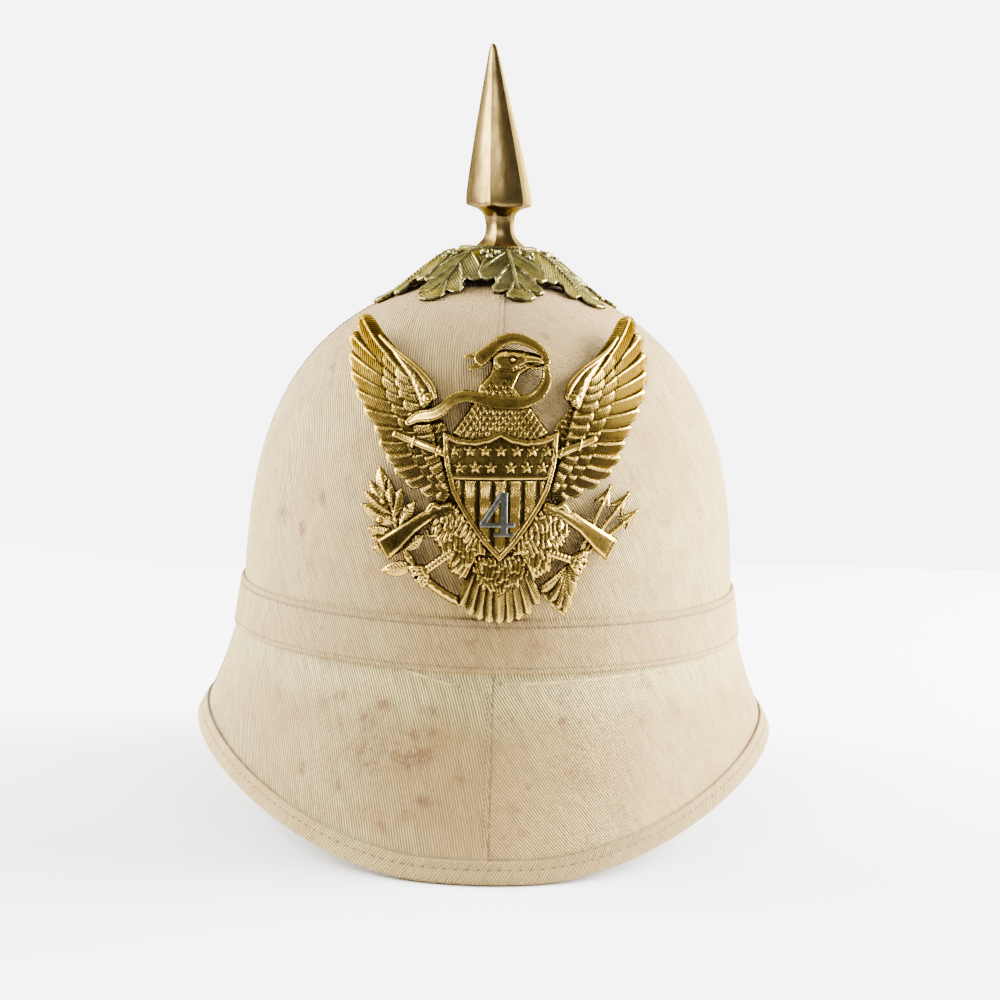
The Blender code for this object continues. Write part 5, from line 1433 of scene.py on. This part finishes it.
def lay_wing(relief, side):
    """One wing: its web, long feathers, two rows of shorter ones over their roots, and its shoulder."""
    def put(point):
        return (side * (point.left if side < 0 else point.right), point.z)
    tips = np.array([(side * (f.left if side < 0 else f.right), f.tip_z) for f in WING_FEATHERS])
    roots = np.array([(side * f.root_x, f.root_z) for f in WING_FEATHERS])
    sag = -side * 0.06
    web = [tuple(t + (r - t) * 0.10) for t, r in zip(tips, roots)] + [put(p) for p in WING_INNER_EDGE]
    lay_form(relief, web, 0.5, edge=0.5, pattern=lambda x, z: 0.7 * scales(x, z, 2.4, 3.0, side * 0.9, 0.95))
    for number in range(len(tips) - 1, -1, -1):
        width = 8.4 if number < 7 else 7.0
        lay_feather(relief, roots[number], tips[number], sag, width, 0.55 + 0.02 * number, 0.95,
                    tarnish=0.60 + 0.10 * side)
    for share, base, width, start in ((0.52, 1.0, 6.6, 0.5), (0.30, 1.4, 5.6, 1.0)):
        for number in np.arange(len(tips) - 1.0 - (start % 1), 0.4, -1):
            at = (number, np.arange(len(tips)))
            tip = np.array([np.interp(at[0], at[1], tips[:, k]) for k in (0, 1)])
            root = np.array([np.interp(at[0], at[1], roots[:, k]) for k in (0, 1)])
            reach = share * (1 - 0.12 * (number < 2))
            lay_feather(relief, root, root + (tip - root) * reach, sag, width, base, 0.85, 0.9,
                        tarnish=0.8 * share + 0.08 * side)
    shoulder = [put(p) for p in SHOULDER]

    def hammered(x, z):
        return 0.22 * ripple(x, z, seed=21, waves=10, scale=2.4)
    lay_form(relief, shoulder, 2.5, edge=1.8, crown=0.9, pattern=hammered, floor=1.6)
    inner_edge = [put(p) for p in WING_INNER_EDGE[4:10]]
    lay_rod(relief, inner_edge, (1.4, 1.5, 1.2, 1.0, 0.8, 0.5), 1.8, 0.9, over=False)
    lay_dome(relief, (side * 28.6, 83.5), 2.2, 2.4, 1.3)


def lay_eagle(relief):
    """Neck with pointed scales, head with brow, eye and hooked beak, thighs and tail."""
    def neck_pattern(x, z):
        neck = 1 - smooth_step(z, 88, 93)
        return neck * 0.75 * scales(x, z, 2.5, 1.9) + (1 - neck) * 0.28 * scales(x, z, 1.5, 1.4, 0.9)
    lay_form(relief, HEAD_AND_NECK, 1.9, edge=1.0, crown=0.7, pattern=neck_pattern)
    lay_form(relief, CHEEK, 2.6, edge=2.0, crown=0.8, floor=1.8,
             pattern=lambda x, z: 0.2 * scales(x, z, 1.5, 1.3, 1.2))
    lay_rod(relief, UPPER_BEAK, (1.5, 1.3, 1.0, 0.5), 2.4, 0.9)
    lay_rod(relief, LOWER_BEAK, (0.9, 0.8, 0.5), 2.1, 0.8)
    lay_rod(relief, BROW, (0.5, 0.7, 0.4), 3.2, 1.0)
    lay_dome(relief, EYE, 1.5, 3.0, 0.3, over=True)
    lay_dome(relief, EYE, 0.8, 3.3, 0.7)

    def shaggy(turn):
        return lambda x, z: 1.35 * locks(x, z, 1.9, 5.6, turn)
    mirrored = [(-x, z) for x, z in THIGH]
    lay_form(relief, UPPER_TAIL, 1.0, edge=0.8, pattern=shaggy(0.0))
    lay_form(relief, THIGH, 1.5, edge=1.0, crown=1.0, pattern=shaggy(-0.25), ragged=1.2, tarnish=-0.12)
    lay_form(relief, mirrored, 1.5, edge=1.0, crown=1.0, pattern=shaggy(0.25), ragged=1.2, tarnish=-0.12)
    for number in (0, 8, 1, 7, 2, 6, 3, 5, 4):
        tip = np.array(TAIL_TIPS[number])
        root = (tip[0] * 0.42, 25.0)
        base = 0.5 + 0.12 * (4 - abs(number - 4))
        lay_feather(relief, root, tip, 0.0, 4.9, base, 1.15, 0.8, 0.95, tarnish=0.22)
    lay_form(relief, OVER_TAIL, 1.5, edge=1.2, crown=0.3, floor=1.3, ragged=2.0,
             pattern=lambda x, z: 1.25 * locks(x, z, 1.6, 5.0))


def lay_shield(relief):
    outline = list(SHIELD_HALF) + [(-x, z) for x, z in SHIELD_HALF[-2:0:-1]]
    part = relief.around(outline)
    x, z = relief.x[part], relief.z[part]
    depth = depth_in(x, z, outline)
    rim = np.interp(depth, [0, 0.75, 1.05, 1.3, 1.6, 2.2, 2.6],
                    [SHIELD_RIM_HEIGHT, SHIELD_RIM_HEIGHT, SHIELD_RIM_HEIGHT - 0.6, SHIELD_RIM_HEIGHT,
                     SHIELD_RIM_HEIGHT - 0.1, SHIELD_FIELD_HEIGHT + 0.05, SHIELD_FIELD_HEIGHT])
    here = relief.lay(part, depth, rim, edge=0.5)
    relief.tool(part, here)
    field = (depth > 2.3) & here
    stripe = np.abs((x / STRIPE_PITCH + 0.5 * (STRIPE_COUNT + 1)) % 1 - 0.5) * STRIPE_PITCH
    on_stripe = (np.clip((STRIPE_WIDTH / 2 - stripe) / 0.3, 0, 1) * np.clip((CHIEF_Z - z) / 0.35, 0, 1)
                 * np.clip((depth - 2.3) / 0.3, 0, 1) * (np.abs(x) < STRIPE_PITCH * STRIPE_COUNT / 2))
    hatch = 0.10 * ripple(x * 5.5, z * 0.35, seed=6, waves=9, scale=1.0)
    rise = STRIPE_HEIGHT - SHIELD_FIELD_HEIGHT + 0.3
    raised = SHIELD_FIELD_HEIGHT - 0.25 + rise * on_stripe + hatch * on_stripe
    below = field & (z < CHIEF_Z + 0.4)
    relief.height[part] = np.where(below, raised, relief.height[part])
    relief.tool(part, field & (z > CHIEF_Z), tarnish=0.08)
    relief.tool(part, below & (on_stripe > 0.5), x / 0.62 + 0.25 * np.sin(z * 0.9), 1.5, -0.45)
    bar = field & (np.abs(z - CHIEF_Z - 0.9) < 0.6)
    relief.height[part] = np.where(bar, SHIELD_FIELD_HEIGHT + 0.45, relief.height[part])
    for row_z, places in STAR_ROWS:
        for star_x in places:
            turn = np.arange(10) * pi / 5
            radius = np.where(np.arange(10) % 2 == 0, STAR_RADIUS, STAR_RADIUS * 0.42)
            star = list(zip(star_x + radius * np.sin(turn), row_z + radius * np.cos(turn)))
            lay_form(relief, star, SHIELD_FIELD_HEIGHT + 0.8, edge=0.25, floor=SHIELD_FIELD_HEIGHT)


def lay_rifles(relief):
    for side, shift, barrel in ((1, 0.0, LEFT_BARREL), (-1, RIGHT_STOCK_SHIFT, RIGHT_BARREL)):
        stock, butt, guard, lock = ([(side * x + shift, z) for x, z in line]
                                    for line in (STOCK, BUTT, TRIGGER_GUARD, LOCK))
        lay_form(relief, stock, 2.6, edge=1.5, crown=0.5, floor=1.2, tarnish=0.12 + 0.22 * side)
        lay_rod(relief, butt, (0.7, 0.7), 2.6, 0.6)
        lay_rod(relief, guard, (0.6, 0.6, 0.6, 0.6), 1.8, 0.8)
        lay_rod(relief, lock, (1.0, 1.2, 0.9), 2.6, 0.8)
        lay_rod(relief, barrel, (1.0, 1.6, 1.7), 2.0, 0.9, over=True)
        upper = [(x, z + 0.9) for x, z in barrel]
        lay_rod(relief, upper, (0.5, 0.7, 0.7), 2.6, 0.9)
        for share in (0.35, 0.80):
            x0, z0 = np.array(barrel[0]) + (np.array(barrel[-1]) - barrel[0]) * share
            lay_rod(relief, ((x0 - 0.5, z0 - 1.8), (x0 + 0.5, z0 + 1.9)), (0.5, 0.5), 3.0, 0.9)


def lay_branch_and_arrows(relief):
    lay_rod(relief, LAUREL_STEM, LAUREL_STEM_RADII, 0.8, 0.8, ribs=0.25, rib_pitch=3.4)
    for leaf in LAUREL_LEAVES:
        lay_leaf(relief, (leaf.root_x, leaf.root_z), (leaf.tip_x, leaf.tip_z), leaf.width, 0.6, 1.3)
    for berry in BERRIES:
        lay_dome(relief, berry, 1.2, 1.4, 1.2)
    root = np.array(ARROW_ROOT)
    for tip in ARROW_TIPS:
        tip = np.array(tip)
        along = (tip - root) / np.linalg.norm(tip - root)
        side = np.array([-along[1], along[0]]) * ARROW_HEAD_WIDTH / 2
        base = tip - along * ARROW_HEAD_LENGTH
        lay_rod(relief, (root, base + along * 3), (0.85, 0.85), 0.9, 1.0)
        head = [tuple(tip), tuple(base + side), tuple(base + along * 2.4), tuple(base - side)]
        lay_form(relief, head, 1.1, edge=2.2, floor=0.3)
        lay_rod(relief, (base + along * 2.4, tip - along), (0.5, 0.35), 1.3, 0.8)
    lay_form(relief, FLETCHING, 0.8, edge=0.6)
    for tip in FLIGHT_TIPS:
        lay_feather(relief, FLIGHT_ROOT, tip, 0.02, 3.6, 1.0, 0.9, 1.0, 1.0)


def lay_feet(relief):
    for foot in (LEFT_FOOT, RIGHT_FOOT):
        hock, claw = np.array((foot.hock_x, foot.hock_z)), np.array((foot.claw_x, foot.claw_z))
        lay_rod(relief, (hock, claw), (1.7, 1.8), 1.8, 0.8, ribs=0.4, rib_pitch=1.5)
        along = (claw - hock) / np.linalg.norm(claw - hock)
        across = np.array([-along[1], along[0]])
        for turn, lead in ((-1.1, 0.2), (-0.35, 0.9), (0.45, 0.9), (1.2, 0.1)):
            start = claw - along * 1.5 + across * turn * 1.2
            middle = claw + along * (1.6 + lead) + across * turn * 3.4
            end = claw + along * (3.6 - abs(turn)) + across * turn * 1.6
            lay_rod(relief, (start, middle, end), (1.5, 1.3, 0.6), 2.0, 1.0, ribs=0.25, rib_pitch=1.6)


def lay_ribbon(relief):
    """The ribbon's arch over the head, its forked end, and the trail across the neck to the left wing."""
    for tail in RIBBON_TAILS:
        lay_strip(relief, tail, (4.2, 3.4, 0.5), 2.2, 0.3)
    lay_strip(relief, RIBBON_ARCH, RIBBON_ARCH_WIDTHS, 2.5, 0.45)
    lay_strip(relief, RIBBON_TRAIL, RIBBON_TRAIL_WIDTHS, 2.9, 0.45)


def build_eagle_plate(material):
    relief = Relief((-64, -4), (62, 117), PLATE_CELL)
    lay_wing(relief, -1)
    lay_wing(relief, 1)
    lay_branch_and_arrows(relief)
    lay_eagle(relief)
    lay_feet(relief)
    lay_rifles(relief)
    lay_shield(relief)
    lay_ribbon(relief)
    sheet = PLATE_SHEET / UNIT
    relief_piece("eagle_relief", relief, on_plate, sheet, material, "gilt_brass", ["eagle_plate"])


NUMERAL_CELL = 0.16
NUMERAL_RISE = 0.55
NUMERAL_SHEET = 0.25


def build_numeral(material):
    relief = Relief((-9, 31), (7, 50), NUMERAL_CELL)
    depth = depth_in(relief.x, relief.z, NUMERAL)
    depth = np.minimum(depth, -depth_in(relief.x, relief.z, NUMERAL_COUNTER))
    relief.inside = depth
    relief.height = NUMERAL_RISE * round_edge(depth, 0.5)
    lift = PLATE_SHEET + STRIPE_HEIGHT * UNIT + GAP

    def on_shield(points, height):
        return on_plate(points, height + lift)
    relief_piece("silver_numeral", relief, on_shield, NUMERAL_SHEET, material, "grey_silver", ["numeral"],
                 bias=0)


# Leaf base: eight oak leaves about a roped ring, drawn from above in millimetres

LEAF_CELL = 0.36
LEAF_THICKNESS = 0.75
LEAF_HUB = 27.0
RING_OUTSIDE = 17.9
ROPE_RADIUS = 15.1
ROPE_TURNS = 64
# The ring's section: the distance from the middle and the height
RING_SECTION = ((0, 0.0), (12.6, 0.0), (13.0, 0.55), (13.6, 0.85), (14.1, 0.45), (14.5, 0.95), (15.1, 1.15),
                (15.7, 0.95), (16.1, 0.5), (16.5, 0.85), (17.2, 0.7), (17.9, 0.1))
# Acorns between the leaves: how far out, the turn from the middle of the gap, and the size
ACORNS = ((20.6, -0.13, 1.9), (21.4, 0.13, 1.7), (24.2, 0.0, 1.5))
STEM = ((17, 0.02), (20, 0.10), (24, 0.06))
LEAF_SIDE = ((3.2, 14.5), (7.5, 20.5), (11.8, 25.5), (14.2, 30.2), (13.8, 34.2), (11.4, 36.2), (8.6, 35.6),
             (8.4, 38.2), (10.6, 40.8), (10.8, 43.8), (8.8, 45.6), (5.8, 44.8), (4.4, 44.8), (5.8, 47.2),
             (5.8, 50.2), (3.8, 52.4), (0.0, 53.0))
LEAF_VEINS = (((0, 20), (6, 25), (11.2, 29.2)), ((0, 28), (4.6, 33), (8.4, 38.2)),
              ((0, 37), (2.4, 41.5), (3.2, 44.5)))


def leaf_lift(radius):
    """How far the leaf sheet stands above the crown: most at the ring, least at the leaves' tips."""
    share = np.clip((radius - RING_RADIUS) / (LEAF_REACH - RING_RADIUS), 0, 1)
    at_ring = RING_TOP - RING_BEAD - CROWN_TOP
    return LEAF_TIP_GAP + (at_ring - LEAF_TIP_GAP) * (1 + np.cos(pi * share)) / 2


def leaf_level(x, y):
    radius = np.hypot(x, y - CROWN_Y)
    level = crown_level(x, y) + leaf_lift(radius)
    flat = RING_TOP - RING_BEAD
    return np.where(radius < RING_RADIUS, flat, np.minimum(level, flat))


def on_crown(points, height):
    """A point of the drawing on the leaf base's curved sheet, at a height along the sheet's normal."""
    x, y = points[:, 0] * UNIT, CROWN_Y + points[:, 1] * UNIT
    step = 0.0008
    slope_x = (leaf_level(x + step, y) - leaf_level(x - step, y)) / (2 * step)
    slope_y = (leaf_level(x, y + step) - leaf_level(x, y - step)) / (2 * step)
    normal = np.stack([-slope_x, -slope_y, np.ones_like(x)], -1)
    normal /= np.linalg.norm(normal, axis=1)[:, None]
    return np.stack([x, y, leaf_level(x, y)], -1) + normal * height[:, None]


def lay_oak_leaf(relief, turn, base):
    """An oak leaf that runs out from the ring: dished lobes, a bright rim, a midrib and side veins."""
    def place(points):
        return [(x * cos(turn) + r * sin(turn), x * sin(turn) - r * cos(turn)) for x, r in points]
    outline = place(list(LEAF_SIDE) + [(-x, r) for x, r in LEAF_SIDE[-2::-1]])
    part = relief.around(outline)
    x, z = relief.x[part], relief.z[part]
    depth = depth_in(x, z, outline)
    rim = 0.45 * np.exp(-((depth - 0.55) / 0.40) ** 2)
    gap, share, _ = line_distance(x, z, place([(0, 15), (0, 44)]))
    vein = 0.70 * np.exp(-(gap / 0.45) ** 2) * np.clip((1 - share) * 5, 0, 1)
    crest = 0.55 * np.exp(-gap / 2.4)
    for line in LEAF_VEINS:
        for side in (-1, 1):
            near, along, _ = line_distance(x, z, place([(side * a, r) for a, r in line]))
            vein = np.maximum(vein, 0.42 * np.exp(-(near / 0.36) ** 2) * np.clip((1 - along) * 4, 0, 1))
            crest = np.maximum(crest, 0.42 * np.exp(-near / 1.6))
    texture = 0.16 * ripple(x, z, seed=31, waves=12, scale=2.6)
    here = relief.lay(part, depth, base + rim + vein + crest + texture, edge=0.35)
    relief.tool(part, here, (share * 29 - gap * 0.8) / 1.3, 0.8 * (depth > 0.9))


def build_leaf_base(material):
    relief = Relief((-52, -52), (52, 52), LEAF_CELL)
    radius = np.hypot(relief.x, relief.z)
    angle = np.arctan2(relief.x, -relief.z)
    whole = (slice(None), slice(None))
    relief.lay(whole, LEAF_HUB - radius, 0.25 + 0 * radius)
    turns = LEAF_TURN + np.arange(LEAF_COUNT) * 2 * pi / LEAF_COUNT
    for turn in turns[1::2]:
        lay_oak_leaf(relief, turn, 0.15)
    for turn in turns[::2]:
        lay_oak_leaf(relief, turn, 0.55)
    for number, turn in enumerate(turns + pi / LEAF_COUNT):
        sway = 0.05 if number % 2 else -0.07
        for distance, swing, size in ACORNS:
            place = (distance * sin(turn + swing + sway), -distance * cos(turn + swing + sway))
            lay_dome(relief, place, size, 0.7, 1.25)
            lay_dome(relief, (place[0] * 1.04, place[1] * 1.04), size * 0.45, 1.6, 0.7)
        stem = [(r * sin(turn + a), -r * cos(turn + a)) for r, a in STEM]
        lay_rod(relief, stem, (0.6, 0.5, 0.4), 0.8, 0.9)
    rope = 0.5 + 0.5 * np.cos(angle * ROPE_TURNS + radius * 2.2)
    ring = np.interp(radius, *zip(*RING_SECTION))
    ring = ring + 0.40 * (rope - 0.5) * np.exp(-((radius - ROPE_RADIUS) / 0.75) ** 2)
    relief.lay(whole, RING_OUTSIDE - radius, ring)
    relief.tool(whole, radius < RING_OUTSIDE)
    relief.inside = np.minimum(relief.inside, radius - (SPIKE_SCREW_RADIUS + GAP) / UNIT)
    relief_piece("oak_leaves", relief, on_crown, LEAF_THICKNESS, material, "dull_brass", ["leaf_base"],
                 bias=0.30)


# Spike

SpikeRow = namedtuple("SpikeRow", "height radius")
SPIKE_PROFILE = table(SpikeRow, (
    (0.020, 0.74), (0.030, 0.66), (0.045, 0.565), (0.060, 0.50), (0.080, 0.45), (0.100, 0.43),
    (0.120, 0.425), (0.135, 0.435), (0.165, 0.470), (0.184, 0.53), (0.197, 0.62), (0.206, 0.74),
    (0.2105, 0.87), (0.214, 0.955), (0.219, 0.985), (0.230, 1.00), (0.262, 0.985), (0.300, 0.955),
    (0.400, 0.845), (0.520, 0.705), (0.640, 0.557), (0.760, 0.405), (0.860, 0.275), (0.940, 0.170),
    (0.975, 0.120), (0.990, 0.085), (0.998, 0.040), (1.000, 0.004),
))
SPIKE_FACES = 6
SPIKE_FACE_STEPS = 14
SPIKE_FACE_HOLLOW = 0.075
SPIKE_FOOT_DIP = 0.0016      # how far the middle of each face hangs below its corners at the shoulder


def build_spike(material):
    """Rings of six hollow faces: a flat side's distance, less a dish, at each share of the way across it."""
    steps = SPIKE_FACES * SPIKE_FACE_STEPS
    number = np.arange(steps)
    share = (number % SPIKE_FACE_STEPS) / SPIKE_FACE_STEPS
    turn = 2 * pi * number / steps + SPIKE_TURN
    flat = cos(pi / SPIKE_FACES) / np.cos(2 * pi / SPIKE_FACES * (share - 0.5))
    dish = 4 * share * (1 - share)
    heights = np.array([row.height for row in SPIKE_PROFILE])[:, None] * SPIKE_HEIGHT
    radii = np.array([row.radius for row in SPIKE_PROFILE])[:, None] * SPIKE_RADIUS
    r = radii * flat * (1 - SPIKE_FACE_HOLLOW * dish)
    near_shoulder = np.exp(-((heights / SPIKE_HEIGHT - 0.193) / 0.022) ** 2)
    z = heights - SPIKE_FOOT_DIP * dish * near_shoulder
    fluted = np.stack([r * np.sin(turn), -r * np.cos(turn), z + 0 * turn], -1)
    lip = SPIKE_FLANGE_RADIUS
    sheet = SPIKE_FLANGE_SHEET
    plain = []
    for radius, height in ((0.0002, 0.0), (lip - 0.0003, 0.0), (lip, 0.0003), (lip, sheet - 0.0004),
                           (lip - 0.0004, sheet), (lip - 0.0012, sheet + 0.0001)):
        plain.append(np.stack([radius * np.sin(turn), -radius * np.cos(turn), height + 0 * turn], -1))
    rings = np.concatenate([np.array(plain), fluted])
    rings[..., 0] += SPIKE_SHIFT - tan(SPIKE_LEAN) * np.maximum(0, rings[..., 2] - sheet)
    rings[..., 1] += CROWN_Y
    rings[..., 2] += RING_TOP - RING_BEAD + GAP
    share_up = np.concatenate([np.zeros(len(plain)), heights[:, 0]]) / SPIKE_HEIGHT
    waist = np.exp(-((share_up - 0.15) / 0.05) ** 2)
    hollow = waist[:, None] * 0.55 + 0 * turn
    add_piece("brass_spike", rings, grid_faces(len(rings), steps), material, "rosy_brass", ["spike"], None,
              {"hollow": hollow}, sharp=24)


add_camera()
add_floor()
add_room()
for lamp in LAMPS:
    add_lamp(lamp)
# Each twill: its ridge colour, its valley colour (painted shade in the grooves), its tired colour and its
# turn.
CREAM = twill_paint("cream_twill", rgb(0.92, 0.745, 0.275), rgb(0.22, 0.150, 0.052), rgb(0.45, 0.265, 0.080),
                    TWILL_TURN)
BAND = twill_paint("band_twill", rgb(0.90, 0.70, 0.255), rgb(0.21, 0.135, 0.048), rgb(0.42, 0.25, 0.076),
                   TWILL_TURN)
BINDING = twill_paint("binding_twill", rgb(0.80, 0.61, 0.215), rgb(0.34, 0.23, 0.080),
                      rgb(0.44, 0.265, 0.082), BINDING_TURN)
BROWN_THREAD = thread_paint("brown_thread", rgb(0.24, 0.135, 0.06), rgb(0.12, 0.065, 0.03))
DARK_THREAD = thread_paint("dark_thread", rgb(0.14, 0.08, 0.04), rgb(0.06, 0.035, 0.02))
GILT = brass_paint("gilt_brass", rgb(0.48, 0.305, 0.055), rgb(0.140, 0.092, 0.020),
                   rgb(0.028, 0.018, 0.005), 0.20, 0.00012)
DULL = brass_paint("dull_brass", rgb(0.27, 0.235, 0.095), rgb(0.120, 0.102, 0.042),
                   rgb(0.036, 0.029, 0.012), 0.30, 0.0002)
build_helmet_cloth(CREAM)
build_band(BAND)
build_binding(BINDING)
build_ring_threads(BROWN_THREAD, DARK_THREAD)
build_seam_threads(DARK_THREAD)
build_pleats(thread_paint("tuck_cloth", rgb(0.66, 0.50, 0.19), rgb(0.42, 0.30, 0.11)), DARK_THREAD)
build_eagle_plate(GILT)
build_numeral(silver_paint())
build_leaf_base(DULL)
build_spike(spike_paint())
